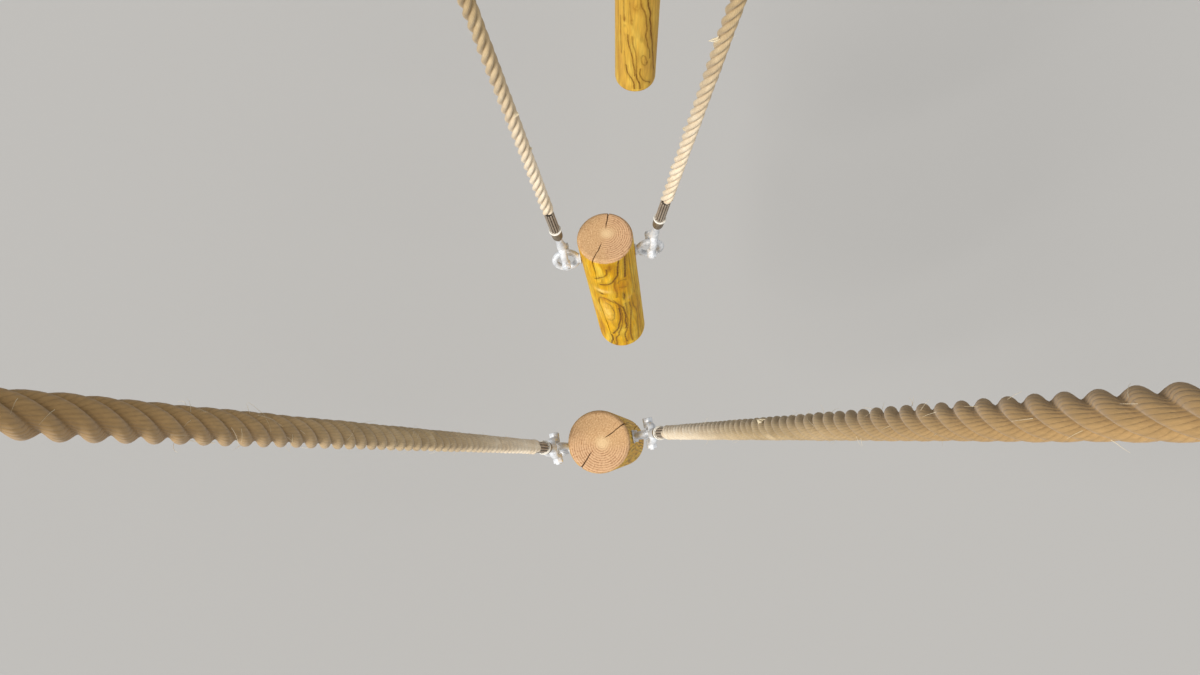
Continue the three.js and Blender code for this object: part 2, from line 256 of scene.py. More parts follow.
def smooth_step(value, low, high):
    inputs = {"Value": value, "From Min": low, "From Max": high}
    return add_node("ShaderNodeMapRange", inputs, "Result", interpolation_type="SMOOTHSTEP")


def rescale(value, low, high, to_low, to_high):
    inputs = {"Value": value, "From Min": low, "From Max": high, "To Min": to_low, "To Max": to_high}
    return add_node("ShaderNodeMapRange", inputs, "Result")


def mix(share, a, b, blend="MIX"):
    return add_node("ShaderNodeMix", {0: share, 6: a, 7: b}, 2, data_type="RGBA", blend_type=blend)


def shaded(colour, shade):
    return mix(1.0, colour, shade, "MULTIPLY")


def ramp(value, *stops):
    """Blends between stops, each a position and then a colour or a grey level."""
    made = node(value.tree, "ShaderNodeValToRGB")
    elements = made.color_ramp.elements
    while len(elements) < len(stops):
        elements.new(0.5)
    for element, (position, *colour) in zip(elements, stops):
        element.position = position
        element.color = srgb(*colour) if len(colour) == 3 else (*colour * 3, 1)
    feed(made.inputs["Fac"], value)
    return Wire(value.tree, made.outputs["Color"])


def bump(height, distance, strength, **normal):
    inputs = {"Height": height, "Distance": distance, "Strength": strength, **normal}
    return add_node("ShaderNodeBump", inputs, "Normal")


def attribute(tree, name, output="Fac"):
    return Wire(tree, node(tree, "ShaderNodeAttribute", attribute_name=name).outputs[output])


def object_place(tree):
    return Wire(tree, node(tree, "ShaderNodeTexCoord").outputs["Object"])


def srgb(red, green, blue):
    """A colour given as 0 to 255 display values."""
    shares = (value / 255 for value in (red, green, blue))
    return (*(v / 12.92 if v <= 0.04045 else ((v + 0.055) / 1.055) ** 2.4 for v in shares), 1)


def new_group(name, inputs, outputs):
    """An empty node group, from labels and kinds. Returns it, its input wires and its output sockets."""
    group = bpy.data.node_groups.new(name, "ShaderNodeTree")
    for way, labels in (("INPUT", inputs), ("OUTPUT", outputs)):
        for label, kind in labels.items():
            group.interface.new_socket(label, in_out=way, socket_type="NodeSocket" + kind)
    source = group.nodes.new("NodeGroupInput")
    sink = group.nodes.new("NodeGroupOutput")
    return group, [Wire(group, source.outputs[label]) for label in inputs], sink.inputs


def use_group(group, **inputs):
    """Adds a node group with its inputs fed, and returns its outputs by label."""
    tree = tree_of(inputs.values())
    made = node(tree, "ShaderNodeGroup", node_tree=group)
    for label, value in inputs.items():
        feed(made.inputs[label], value)
    return {socket.name: Wire(tree, socket) for socket in made.outputs}


def make_material(name, paint, *choices):
    """A material with one Principled BSDF, whose inputs paint gives by name."""
    material = bpy.data.materials.new(name)
    material.use_nodes = True
    tree = material.node_tree
    for label, value in paint(tree, *choices).items():
        feed(tree.nodes["Principled BSDF"].inputs[label], value)
    return material


# Wood figure: growth rings cut by the turned surface, fibre streaks and end grain
RING_SPACING = 0.0042
END_RING_SPACING = 0.0030
HEART = (0.016, 0.028, 0.0)
PITH = (0.003, 0.004, 0.0)


def make_wood_figure():
    numbers = dict.fromkeys(("Lift", "Ends", "Contrast", "Lines", "Tone"), "Float")
    results = {"Colour": "Color", "Height": "Float", "Roughness": "Float"}
    group, wires, sink = new_group("wood_figure", {"Place": "Vector", **numbers}, results)
    place, lift, ends, contrast, lines, tone = wires
    flat = stretch(calc_vector("SUBTRACT", place, HEART), 1, 1, 0)
    slow = (grain_noise(place, 22, 5, detail=1.5) - 0.5) * 0.022
    quick = (grain_noise(place, 150, 26) - 0.5) * 0.0030
    ring = calc("FRACT", (calc_vector("LENGTH", flat) + (slow + quick)) / RING_SPACING + lift)
    # Late wood is a dark line that fades in slowly and stops short
    late = ramp(ring, (0.0, 0.0), (0.38, 0.04), (0.60, 0.60), (0.78, 1.0), (0.90, 0.70), (1.0, 0.0))
    patchy = rescale(grain_noise(place, 90, 15, detail=3.0), 0.38, 0.62, 0.25, 1.0)
    ragged = grain_noise(place, 700, 160, detail=3.0, roughness=0.65)
    drawn = calc("MULTIPLY", lines, rescale(ragged, 0.3, 0.65, 0.72, 1.30), clamp=True)
    late = calc("MAXIMUM", late * patchy * contrast, drawn)
    cloud = grain_noise(place, 70, 13, detail=3.0, roughness=0.6)
    golden = ramp(cloud, (0.32, 214, 150, 0), (0.50, 238, 182, 10), (0.68, 250, 210, 70))
    side = mix(late, mix(tone, golden, srgb(212, 172, 90)), srgb(112, 66, 0))
    streak = grain_noise(place, 1100, 26, roughness=0.6)
    side = shaded(side, rescale(streak, 0.25, 0.75, 0.86, 1.10))
    fibre = grain_noise(place, 430, 17, detail=3.0, roughness=0.6)
    side = shaded(side, rescale(fibre, 0.32, 0.68, 0.80, 1.10))
    # End grain: fine rings that show more on one side, a pale pith and saw texture
    from_pith = stretch(calc_vector("SUBTRACT", place, PITH), 1, 1, 0)
    radius = calc_vector("LENGTH", from_pith)
    fine = calc("FRACT", (quick * 0.35 + radius) / END_RING_SPACING)
    fine = ramp(fine, (0.0, 0.0), (0.40, 0.08), (0.70, 1.0), (0.85, 1.0), (0.98, 0.0))
    fresh = smooth_step(split(place)[0] + slow * 3.0, -0.012, 0.026)
    specks = grain_noise(place, 420, 60, detail=4.0, roughness=0.7)
    fine = calc("MULTIPLY", fine, rescale(fresh, 0, 1, 0.25, 1.3), clamp=True)
    fine = calc("MULTIPLY", fine, rescale(specks, 0.36, 0.64, 0.10, 0.85), clamp=True)
    saw = grain_noise(place, 480, 100, detail=4.0, roughness=0.75)
    tan = ramp(saw, (0.34, 176, 134, 90), (0.50, 200, 160, 115), (0.66, 219, 183, 139))
    tan = mix(fresh * 0.45, tan, srgb(222, 182, 146))
    tan = mix(fine, tan, srgb(136, 84, 44))
    # Short fine checks run out from the pith
    x, y, _ = split(from_pith)
    rays = add_node("ShaderNodeCombineXYZ", {"X": calc("ARCTAN2", y, x) * 13.0, "Y": radius * 60.0})
    checks = smooth_step(noise_value(rays), 0.60, 0.70) * smooth_step(radius, 0.004, 0.012)
    tan = mix(checks * 0.45, tan, srgb(140, 92, 54))
    tan = mix(smooth_step(specks, 0.60, 0.72) * 0.35, tan, srgb(150, 104, 60))
    pale_heart = smooth_step(slow * 1.4 + radius, 0.0120, -0.0020)
    tan = mix(pale_heart * 0.50, tan, srgb(240, 212, 164))
    feed(sink["Colour"], mix(ends, side, tan))
    relief = late * -0.6 + streak * 0.5
    end_relief = fine * -0.4 + saw
    feed(sink["Height"], (end_relief - relief) * ends + relief)
    feed(sink["Roughness"], ends * 0.22 + rescale(streak, 0.2, 0.8, 0.50, 0.66))
    return group


WOOD_FIGURE = make_wood_figure()

# Places on a log where the growth rings bend round something: degrees round the log, depth under its top,
# half width, half height, and by how many rings
HILLS = (
    (-85, 0.885, 0.0048, 0.0065, 1.8),
    (-88, 0.930, 0.0070, 0.0240, 1.2),
    (-140, 0.800, 0.0060, 0.0160, -1.2),
    (-60, 1.420, 0.0080, 0.0400, 1.6),
    (-110, 1.820, 0.0080, 0.0450, 1.8),
)
# Knots and stains: places and sizes as above, then how strong the mark is, and its colour
MARKS = (
    (-78, 0.094, 0.0170, 0.0240, 0.50, (196, 118, 4)),
    (-115, 0.190, 0.0070, 0.0340, 0.80, (255, 216, 112)),
    (-150, 0.205, 0.0120, 0.0300, 0.45, (246, 200, 92)),
    (-117, 0.139, 0.0100, 0.0080, 0.55, (178, 98, 30)),
    (-117, 0.106, 0.0110, 0.0056, 0.85, (255, 222, 140)),
    (-120, 0.117, 0.0062, 0.0032, 1.00, (92, 50, 6)),
    (-70, 0.134, 0.0034, 0.0150, 1.00, (88, 46, 0)),
    (-90, 0.020, 0.0062, 0.0100, 0.75, (138, 76, 12)),
    (-58, 0.149, 0.0045, 0.0060, 0.45, (236, 190, 110)),
    (-79, 0.892, 0.0022, 0.0045, 0.80, (116, 70, 6)),
    (-124, 0.773, 0.0030, 0.0075, 0.90, (136, 84, 6)),
    (-115, 0.735, 0.0080, 0.0130, 0.60, (150, 96, 10)),
    (-145, 0.770, 0.0030, 0.0080, 0.80, (136, 84, 6)),
    (-157, 0.815, 0.0022, 0.0075, 0.60, (150, 98, 10)),
)


def near_place(place, degrees, depth, width, height):
    """1 at a place on the log's skin, falling to 0 round it."""
    angle = math.radians(degrees)
    spot = (LOG_RADIUS * math.cos(angle), LOG_RADIUS * math.sin(angle), -depth)
    offset = calc_vector("DIVIDE", calc_vector("SUBTRACT", place, spot), (width, width, height))
    return calc("EXPONENT", calc_vector("DOT_PRODUCT", offset, offset) * -1.0)


def paint_log(tree):
    place = attribute(tree, "log_place", "Vector")
    ends = attribute(tree, "end_grain")
    lift = 0.0
    for *spot, rings in HILLS:
        lift = near_place(place, *spot) * rings + lift
    made = use_group(
        WOOD_FIGURE,
        Place=place,
        Lift=lift,
        Ends=ends,
        Contrast=attribute(tree, "ring_share"),
        Lines=attribute(tree, "grain_lines"),
        Tone=attribute(tree, "log_tone"),
    )
    colour = made["Colour"]
    uneven = grain_noise(place, 260, 90, detail=3.0, roughness=0.65)
    uneven = rescale(uneven, 0.35, 0.62, 0.35, 1.15)
    on_side = 1.0 - ends
    for *spot, strength, tint in MARKS:
        mark = calc("MULTIPLY", near_place(place, *spot) * uneven, strength, clamp=True)
        colour = mix(mark * on_side, colour, srgb(*tint))
    return {
        # Painted shade darkens the drying cracks
        "Base Color": mix(attribute(tree, "crack"), colour, srgb(52, 28, 8)),
        "Roughness": made["Roughness"],
        "Normal": bump(made["Height"], 0.0006, 0.5),
        "Specular IOR Level": 0.2,
    }


def paint_beam(tree, centre, turn):
    """Sawn pine whose grain runs along X, seen with the heart of the tree below the beam."""
    place = object_place(tree)
    turned_place = {"Vector": place, "Location": centre, "Rotation": (turn, math.pi / 2, 0)}
    across = calc("ABSOLUTE", split(place)[0])
    made = use_group(
        WOOD_FIGURE,
        Place=add_node("ShaderNodeMapping", turned_place, vector_type="TEXTURE"),
        Lift=0.0,
        Ends=smooth_step(across, BEAM_LENGTH / 2 - 0.0016, BEAM_LENGTH / 2 - 0.0004),
        Contrast=0.55,
        Lines=0.0,
        Tone=0.3,
    )
    rough = bump(noise_value(stretch(place, 420, 30, 30)), 0.0008, 0.35)
    return {
        "Base Color": mix(0.55, made["Colour"], srgb(186, 158, 112)),
        "Roughness": made["Roughness"],
        "Normal": bump(made["Height"], 0.0005, 0.5, Normal=rough),
        "Specular IOR Level": 0.3,
    }


# Galvanised skin: a faint crystal pattern, dull patches, and dark patches that are dirt and painted shade
def make_zinc_skin():
    inputs = {"Place": "Vector", "Bright": "Color", "Dull": "Color", "Dirt": "Float"}
    results = {"Colour": "Color", "Roughness": "Float", "Height": "Float"}
    group, (place, bright, dull, dirt_and_shade), sink = new_group("zinc_skin", inputs, results)
    red, green, _ = split(add_node("ShaderNodeTexVoronoi", {"Vector": place, "Scale": 260}, "Color"))
    cloud = rescale(noise_value(place, detail=4.0, roughness=0.6, scale=90), 0.35, 0.7, 0.0, 0.7)
    share = calc("MULTIPLY_ADD", red, 0.35, cloud, clamp=True)
    # Dark patches: dirt, made stronger as painted shade
    grime_and_shade = smooth_step(noise_value(place, detail=5.0, roughness=0.65, scale=190), 0.52, 0.74) * dirt_and_shade
    feed(sink["Colour"], mix(grime_and_shade, mix(share, bright, dull), srgb(92, 78, 60)))
    feed(sink["Roughness"], grime_and_shade * 0.35 + rescale(share, 0, 1, 0.34, 0.50))
    feed(sink["Height"], green * 0.15 + grime_and_shade)
    return group


ZINC_SKIN = make_zinc_skin()


def paint_metal(tree, bright, dull, dirt_and_shade, metallic, rougher):
    skin = use_group(ZINC_SKIN, Place=object_place(tree), Bright=srgb(*bright), Dull=srgb(*dull), Dirt=dirt_and_shade)
    return {
        "Base Color": skin["Colour"],
        "Roughness": calc("ADD", skin["Roughness"], rougher, clamp=True),
        "Normal": bump(skin["Height"], 0.0003, 0.35),
        "Metallic": metallic,
    }


# Lay of a rope, from its own straight place: 1 in the hollows between strands, and lines of yarn along it
def make_rope_lay():
    numbers = dict.fromkeys(("Strands", "Lay", "Yarns", "Wander"), "Float")
    results = dict.fromkeys(("Hollow", "Yarn", "Tone"), "Float")
    group, wires, sink = new_group("rope_lay", {"Place": "Vector", **numbers}, results)
    place, strands, lay, yarns, wander = wires
    x, y, z = split(place)
    turn = calc("ARCTAN2", y, x) / FULL_TURN
    strand = calc("FRACT", (turn - z / lay) * strands)
    feed(sink["Hollow"], calc("ABSOLUTE", strand * 2.0 - 1.0))
    drift = (grain_noise(place, 70, 30) - 0.5) * wander
    phase = turn * yarns + (z * 45.0 + drift)
    wave = calc("ABSOLUTE", calc("SINE", phase * math.pi))
    feed(sink["Yarn"], calc("POWER", wave, 0.6))
    feed(sink["Tone"], grain_noise(place, 260, 12))
    return group


ROPE_LAY_LINES = make_rope_lay()


def paint_rope(tree):
    """Cream rope, paler towards its lower end, with painted shade that turns it browner higher up."""
    own = attribute(tree, "rope_place", "Vector")
    lay = use_group(ROPE_LAY_LINES, Place=own, Strands=4.0, Lay=ROPE_LAY, Yarns=27.0, Wander=0.9)
    hair = grain_noise(own, 1300, 170, detail=3.0, roughness=0.65)
    weather = noise_value(own, detail=4.0, roughness=0.6, scale=42)
    height = weather * 0.20 + split(own)[2]
    pale = ramp(weather, (0.32, 222, 200, 168), (0.52, 238, 220, 192), (0.70, 248, 236, 216))
    tan = ramp(weather, (0.32, 172, 147, 108), (0.52, 190, 165, 124), (0.70, 208, 185, 146))
    cream = mix(smooth_step(height, 0.16, 0.50), pale, tan)
    # Painted shade: the upper part of the rope is made browner, as if it lay in shadow
    cream = mix(smooth_step(height, 0.50, 0.86), cream, srgb(176, 142, 94))
    shade = rescale(lay["Yarn"], 0, 1, 0.90, 1.02)
    shade = shade * rescale(lay["Tone"], 0.3, 0.7, 0.90, 1.08) * rescale(hair, 0.25, 0.75, 0.88, 1.10)
    # Painted shade darkens the hollows between the strands
    painted_groove_shade = smooth_step(lay["Hollow"], 0.70, 0.95) * 0.40
    return {
        "Base Color": mix(painted_groove_shade, shaded(cream, shade), srgb(128, 98, 58)),
        "Roughness": 0.85,
        "Specular IOR Level": 0.25,
        "Sheen Weight": 0.2,
        "Sheen Roughness": 0.5,
        "Normal": bump(hair, 0.0003, 0.5, Normal=bump(lay["Yarn"], 0.0003, 0.6)),
    }


def paint_fibre(tree):
    tint = noise_value(object_place(tree), scale=60)
    colour = ramp(tint, (0.3, 214, 194, 154), (0.7, 240, 228, 200))
    return {"Base Color": colour, "Roughness": 0.8, "Specular IOR Level": 0.2}


def paint_wire(tree):
    own = attribute(tree, "rope_place", "Vector")
    wires = use_group(ROPE_LAY_LINES, Place=own, Strands=6.0, Lay=CABLE_LAY, Yarns=42.0, Wander=0.2)
    bright, dull = srgb(214, 216, 218), srgb(158, 160, 162)
    skin = use_group(ZINC_SKIN, Place=object_place(tree), Bright=bright, Dull=dull, Dirt=0.7)
    shade = rescale(wires["Yarn"], 0, 1, 0.55, 1.0) * rescale(wires["Hollow"], 0.6, 1, 1.0, 0.5)
    return {
        "Base Color": shaded(skin["Colour"], shade),
        "Roughness": calc("ADD", skin["Roughness"], 0.10, clamp=True),
        "Normal": bump(wires["Yarn"], 0.0003, 0.8),
        "Metallic": 0.4,
    }


PINE = make_material("turned_pine", paint_log)
BEAMS = {
    "near_end_beam": make_material("sawn_pine_near", paint_beam, (0.03, 0.045, -0.035), 0.4),
    "far_end_beam": make_material("sawn_pine_far", paint_beam, (-0.11, BRIDGE_LENGTH - 0.06, -0.045), 2.1),
}
ROPE = make_material("laid_rope", paint_rope)
FIBRE = make_material("loose_fibre", paint_fibre)
WIRE = make_material("wire_rope", paint_wire)
# Metals: bright and dull colour, how much dirt and painted shade, how metallic and how much rougher than
# clean zinc
ZINC = make_material("galvanised_steel", paint_metal, (246, 247, 249), (196, 200, 205), 0.45, 0.15, 0.0)
RIBS = make_material("ferrule_ribs", paint_metal, (176, 162, 144), (146, 132, 116), 0.15, 0.2, 0.0)
FERRULE = make_material("weathered_ferrule", paint_metal, (74, 62, 50), (54, 45, 36), 0.4, 0.2, 0.20)
COLLAR = make_material("dark_collar", paint_metal, (150, 134, 110), (106, 92, 74), 0.5, 0.3, 0.0)
RIM = make_material("pale_rim", paint_metal, (250, 246, 236), (236, 228, 212), 0.12, 0.0, 0.0)


# Mesh helpers
def to_mesh(bm, name="part"):
    """Ends a bmesh as a mesh without an object."""
    mesh = bpy.data.meshes.new(name)
    bm.to_mesh(mesh)
    bm.free()
    return mesh


def skin_of(bm, merge):
    """Ends a bmesh as a skin: doubles merged, faces out, shaded smooth."""
    bmesh.ops.remove_doubles(bm, verts=bm.verts, dist=merge)
    bmesh.ops.recalc_face_normals(bm, faces=bm.faces)
    mesh = to_mesh(bm)
    mesh.shade_smooth()
    return mesh


def mesh_of(bm):
    """Ends a bmesh as a skin with sharp edges."""
    mesh = skin_of(bm, 1e-6)
    mesh.set_sharp_from_angle(angle=math.radians(35))
    return mesh


def verts_of(made):
    """The vertices in what an operator gives back."""
    return [v for v in made["geom"] if isinstance(v, bmesh.types.BMVert)]


def spin(bm, geom, steps, angle=FULL_TURN, **settings):
    """Turns geometry about Z. Returns the end of the turn."""
    centre = {"cent": (0, 0, 0), "axis": (0, 0, 1)}
    return bmesh.ops.spin(bm, geom=geom, steps=steps, angle=angle, **centre, **settings)["geom_last"]


def grow(bm, edges):
    """Extrudes a loop of edges. Returns the new loop's vertices and edges."""
    made = bmesh.ops.extrude_edge_only(bm, edges=edges)
    verts = verts_of(made)
    edges = [e for e in made["geom"] if isinstance(e, bmesh.types.BMEdge)]
    return verts, [e for e in edges if set(e.verts) <= set(verts)]


def thicken(bm, move, edge):
    """Gives one flat face a thickness, with its sharp edges eased."""
    made = bmesh.ops.extrude_face_region(bm, geom=list(bm.faces))
    bmesh.ops.translate(bm, verts=verts_of(made), vec=move)
    sharp = [e for e in bm.edges if e.calc_face_angle(0) > math.radians(40)]
    bmesh.ops.bevel(
        bm, geom=sharp, offset=edge, segments=2, profile=0.5, affect="EDGES", clamp_overlap=True, material=-1
    )
    return mesh_of(bm)


def turned(profile, steps=32, closed=False):
    """A shape turned about Z from points of radius and height."""
    bm = bmesh.new()
    verts = [bm.verts.new((radius, 0, height)) for radius, height in profile]
    edges = [bm.edges.new(pair) for pair in zip(verts, verts[1:] + verts[:closed])]
    spin(bm, verts + edges, steps, use_merge=True)
    return mesh_of(bm)


def rod(radius, low, high, steps=24, edge=0.0006):
    """A round bar along Z with eased ends."""
    edge = min(edge, radius / 3, (high - low) / 3)
    side = [(radius - edge, low), (radius, low + edge), (radius, high - edge), (radius - edge, high)]
    return turned([(0, low), *side, (0, high)], steps)


def washer(inner, outer, low, high, steps=32):
    edge = (high - low) / 4
    side = [(outer - edge, low), (outer, low + edge), (outer, high - edge), (outer - edge, high)]
    return turned([(inner, low), *side, (inner, high)], steps, closed=True)


def hexagon(radius, low, high, edge=0.0007):
    """A hexagon head or nut along Z, with its corners taken off at both ends."""
    bm = bmesh.new()
    made = bmesh.ops.create_circle(bm, cap_ends=True, segments=6, radius=radius)
    bmesh.ops.translate(bm, verts=made["verts"], vec=(0, 0, low))
    return thicken(bm, (0, 0, high - low), edge)


def plate(outline, move, edge):
    """A plate from the corners of one face and the way to the other."""
    bm = bmesh.new()
    bm.faces.new([bm.verts.new(point) for point in outline])
    return thicken(bm, move, edge)


def ring_bar(radius, bar_radius, around=48, section=16):
    """A round bar bent to a ring about Z."""
    bm = bmesh.new()
    upright = Matrix.Translation((radius, 0, 0)) @ Matrix.Rotation(math.pi / 2, 4, "X")
    made = bmesh.ops.create_circle(bm, segments=section, radius=bar_radius, matrix=upright)
    spin(bm, made["verts"] + list(bm.edges), around, use_merge=True)
    return mesh_of(bm)


def swept(path, radii, sides=16):
    """A bar of changing radius along a path of points, closed at both ends."""
    bm = bmesh.new()
    points = [Vector(p) for p in path]
    last = len(points) - 1
    tangents = [(points[min(i + 1, last)] - points[max(i - 1, 0)]).normalized() for i in range(last + 1)]
    start = Matrix.Translation(points[0]) @ tangents[0].to_track_quat("Z", "Y").to_matrix().to_4x4()
    bmesh.ops.create_circle(bm, segments=sides, radius=radii[0], matrix=start)
    edges = list(bm.edges)
    bmesh.ops.contextual_create(bm, geom=edges)
    for i in range(1, len(points)):
        verts, edges = grow(bm, edges)
        turn = tangents[i - 1].rotation_difference(tangents[i]).to_matrix().to_4x4()
        size = Matrix.Scale(radii[i] / radii[i - 1], 4)
        move = Matrix.Translation(points[i]) @ turn @ size @ Matrix.Translation(-points[i - 1])
        bmesh.ops.transform(bm, matrix=move, verts=verts)
    bmesh.ops.contextual_create(bm, geom=edges)
    return mesh_of(bm)


def threaded(radius, low, high, pitch=0.0018, steps=20):
    """A stud with thread ridges."""
    count = max(2, int((high - low) / pitch))
    rise = (high - low) / count
    profile = [(0, low)]
    for i in range(count):
        profile.append((radius * 0.90, low + i * rise))
        profile.append((radius, low + (i + 0.5) * rise))
    return turned(profile + [(radius * 0.90, high), (0, high)], steps)


def piece(name, parts, place, body, replaced):
    """Joins parts, each (mesh, spot, material), into one piece at a place, which rides on a body."""
    bm = bmesh.new()
    materials = []
    for mesh, spot, material in parts:
        if material not in materials:
            materials.append(material)
        vert_count = len(bm.verts)
        face_count = len(bm.faces)
        bm.from_mesh(mesh)
        bm.verts.ensure_lookup_table()
        bm.faces.ensure_lookup_table()
        bmesh.ops.transform(bm, matrix=place @ spot, verts=bm.verts[vert_count:])
        for face in bm.faces[face_count:]:
            face.material_index = materials.index(material)
    settle(to_mesh(bm, name), name, materials, body, replaced)


def settle(mesh, name, materials, body, replaced):
    """Makes a mesh a piece that rides on a body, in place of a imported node."""
    for material in materials:
        mesh.materials.append(material)
    made = bpy.data.objects.new(name, mesh)
    bpy.context.scene.collection.objects.link(made)
    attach(made, body)
    if replaced:
        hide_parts(replaced)


def coordinates(mesh):
    flat = np.zeros(len(mesh.vertices) * 3, np.float32)
    mesh.vertices.foreach_get("co", flat)
    return flat.reshape(-1, 3).astype(float)


def set_coordinates(mesh, place):
    mesh.vertices.foreach_set("co", np.asarray(place, np.float32).ravel())
    mesh.update()


def set_attribute(mesh, name, values):
    """Stores a number or a vector for each point of a mesh."""
    kind, key = ("FLOAT", "value") if values.ndim == 1 else ("FLOAT_VECTOR", "vector")
    mesh.attributes.new(name, kind, "POINT").data.foreach_set(key, values.astype(np.float32).ravel())


def apply_matrix(place, matrix):
    m = np.array(matrix)
    return place @ m[:3, :3].T + m[:3, 3]


# Laid rope and wire rope
def strand_reach(angle, strands, hollow):
    """How far out round strands reach at an angle from a strand's middle, as a share of the rope's radius."""
    half = math.sin(math.pi / strands)
    size = half / (1 + half)
    inner = (1 - size) * math.sin(angle)
    reach = (1 - size) * math.cos(angle) + math.sqrt(max(size**2 - inner**2, 0))
    return max(reach, 1 - hollow)


def laid_strands(length, strands, radius, hollow, lay, around, steps_in_turn):
    """Strands twisted to the right round Z, from 0 up to the length, as one skin with hollows."""
    bm = bmesh.new()
    made = bmesh.ops.create_circle(bm, segments=around, radius=radius)
    for v in made["verts"]:
        share = math.atan2(v.co.y, v.co.x) / FULL_TURN * strands % 1
        v.co.xy *= strand_reach(abs(2 * share - 1) * math.pi / strands, strands, hollow)
    spin(bm, bm.verts[:] + bm.edges[:], steps_in_turn, dvec=(0, 0, lay / steps_in_turn))
    done = lay
    while done < length:
        copied = bmesh.ops.duplicate(bm, geom=bm.verts[:] + bm.edges[:] + bm.faces[:])
        bmesh.ops.translate(bm, verts=verts_of(copied), vec=(0, 0, done))
        done *= 2
    bmesh.ops.remove_doubles(bm, verts=bm.verts, dist=radius * 0.005)
    everything = bm.verts[:] + bm.edges[:] + bm.faces[:]
    bmesh.ops.bisect_plane(bm, geom=everything, plane_co=(0, 0, length), plane_no=(0, 0, 1), clear_outer=True)
    for height in (0, length):
        rim = [e for e in bm.edges if e.is_boundary and abs(e.verts[0].co.z - height) < lay / 2]
        close_end(bm, rim, height)
    bmesh.ops.recalc_face_normals(bm, faces=bm.faces)
    mesh = to_mesh(bm)
    mesh.shade_smooth()
    set_attribute(mesh, "rope_place", coordinates(mesh))
    return mesh


def close_end(bm, rim, height):
    """Draws a rope's open rim in to its middle, in rings small enough to round off."""
    for size in (0.82, 0.55, 0.25):
        verts, rim = grow(bm, rim)
        reach = max(v.co.xy.length for v in verts)
        for v in verts:
            v.co.xy *= size / (0.5 + 0.5 * v.co.xy.length / reach) * 0.97
            v.co.z = height
    bmesh.ops.contextual_create(bm, geom=rim)


LOOP_CENTRE = PIN_HEIGHT + HANGER_PIN_RADIUS + GAP - THIMBLE_RADIUS
LOOP_RADIUS = LOOP_HOLE_RADIUS + ROPE_RADIUS
LEG_Y = 0.0084
PRESS_TOP = LOOP_CENTRE - 0.036
PRESS_LOW = PRESS_TOP - PRESS_LENGTH
ROPE_LOW = FORK_LENGTH + COLLAR_LENGTH + RIM_LENGTH + FERRULE_LENGTH + GAP
TAIL = 0.014


def rope_route():
    """The rope's middle line in the YZ plane: from the ferrule round the thimble and into the press."""
    low = [(0, ROPE_LOW), (0, PRESS_LOW - 0.070), (0, PRESS_LOW - 0.060), (LEG_Y * 0.5, PRESS_LOW - 0.025)]
    leg = [(LEG_Y, PRESS_LOW), (LEG_Y, PRESS_TOP), (LEG_Y + 0.0052, PRESS_TOP + 0.013)]
    turns = [math.radians(degrees) for degrees in range(-20, 201, 10)]
    arc = [(LOOP_RADIUS * math.cos(a), LOOP_CENTRE + LOOP_RADIUS * math.sin(a)) for a in turns]
    back = [(-y, z) for y, z in reversed(leg)]
    return np.array([*low, *leg, *arc, *back, (-LEG_Y - 0.0008, PRESS_LOW - TAIL)])


def smooth_route(points, spacing=0.002):
    """Closely spaced points on a smooth curve through the given ones, with lengths and directions."""
    ghosts = np.vstack([2 * points[0] - points[1], points, 2 * points[-1] - points[-2]])
    made = []
    for p0, p1, p2, p3 in zip(ghosts, ghosts[1:], ghosts[2:], ghosts[3:]):
        before, span, after = (np.linalg.norm(step) for step in (p1 - p0, p2 - p1, p3 - p2))
        slope_1 = span * ((p1 - p0) / before * span + (p2 - p1) / span * before) / (before + span)
        slope_2 = span * ((p2 - p1) / span * after + (p3 - p2) / after * span) / (after + span)
        for t in np.linspace(0, 1, max(2, int(span / spacing)), endpoint=False):
            start, end = 2 * t**3 - 3 * t**2 + 1, 3 * t**2 - 2 * t**3
            made.append(start * p1 + (t**3 - 2 * t**2 + t) * slope_1 + end * p2 + (t**3 - t**2) * slope_2)
    made = np.array([*made, points[-1]])
    lengths = np.concatenate([[0], np.cumsum(np.linalg.norm(np.diff(made, axis=0), axis=1))])
    heading = np.gradient(made, lengths, axis=0)
    heading /= np.linalg.norm(heading, axis=1)[:, None]
    return made, lengths, heading


ROUTE, ROUTE_LENGTHS, ROUTE_HEADING = smooth_route(rope_route())
ROPE_LENGTH = float(ROUTE_LENGTHS[-1])


def follow_route(place):
    """Moves points given as (x, y, length along) onto the rope's route."""
    courses = (*ROUTE.T, *ROUTE_HEADING.T)
    y, z, heading_y, heading_z = (np.interp(place[:, 2], ROUTE_LENGTHS, course) for course in courses)
    return np.column_stack([place[:, 0], y + place[:, 1] * heading_z, z - place[:, 1] * heading_y])


def round_ends(place, length, depth):
    """Swells the rope a little towards its ends and draws each end in to a blunt round."""
    from_end = np.minimum(place[:, 2], length - place[:, 2])
    swell = 1 + 0.07 * np.exp(-((from_end / 0.012) ** 2))
    inside = np.clip(np.hypot(place[:, 0], place[:, 1]) / ROPE_RADIUS, 0, 1)
    near = np.clip(1 - from_end / depth, 0, 1)
    size = swell * (1 - 0.16 * near**2)
    sag = depth * 0.75 * (1 - np.sqrt(1 - 0.96 * inside**2)) * (from_end < 1e-5)
    into = np.where(place[:, 2] < length / 2, sag, -sag)
    return np.column_stack([place[:, 0] * size, place[:, 1] * size, place[:, 2] + into])


ROPE_STRANDS = laid_strands(ROPE_LENGTH, 4, ROPE_RADIUS, 0.37, ROPE_LAY, 40, 24)


def make_rope(name, place, body, replaced, seed):
    mesh = ROPE_STRANDS.copy()
    points = coordinates(mesh) @ np.array(Matrix.Rotation(seed * 0.7, 3, "Z")).T
    # A little unevenness in the lay and thickness
    wander = 1 + 0.012 * np.sin(points[:, 2] * 61 + seed) + 0.010 * np.sin(points[:, 2] * 143 + 2 * seed)
    points[:, :2] *= wander[:, None]
    points = round_ends(points, ROPE_LENGTH, 0.005)
    set_coordinates(mesh, apply_matrix(follow_route(points), place))
    settle(mesh, name, [ROPE], body, replaced)


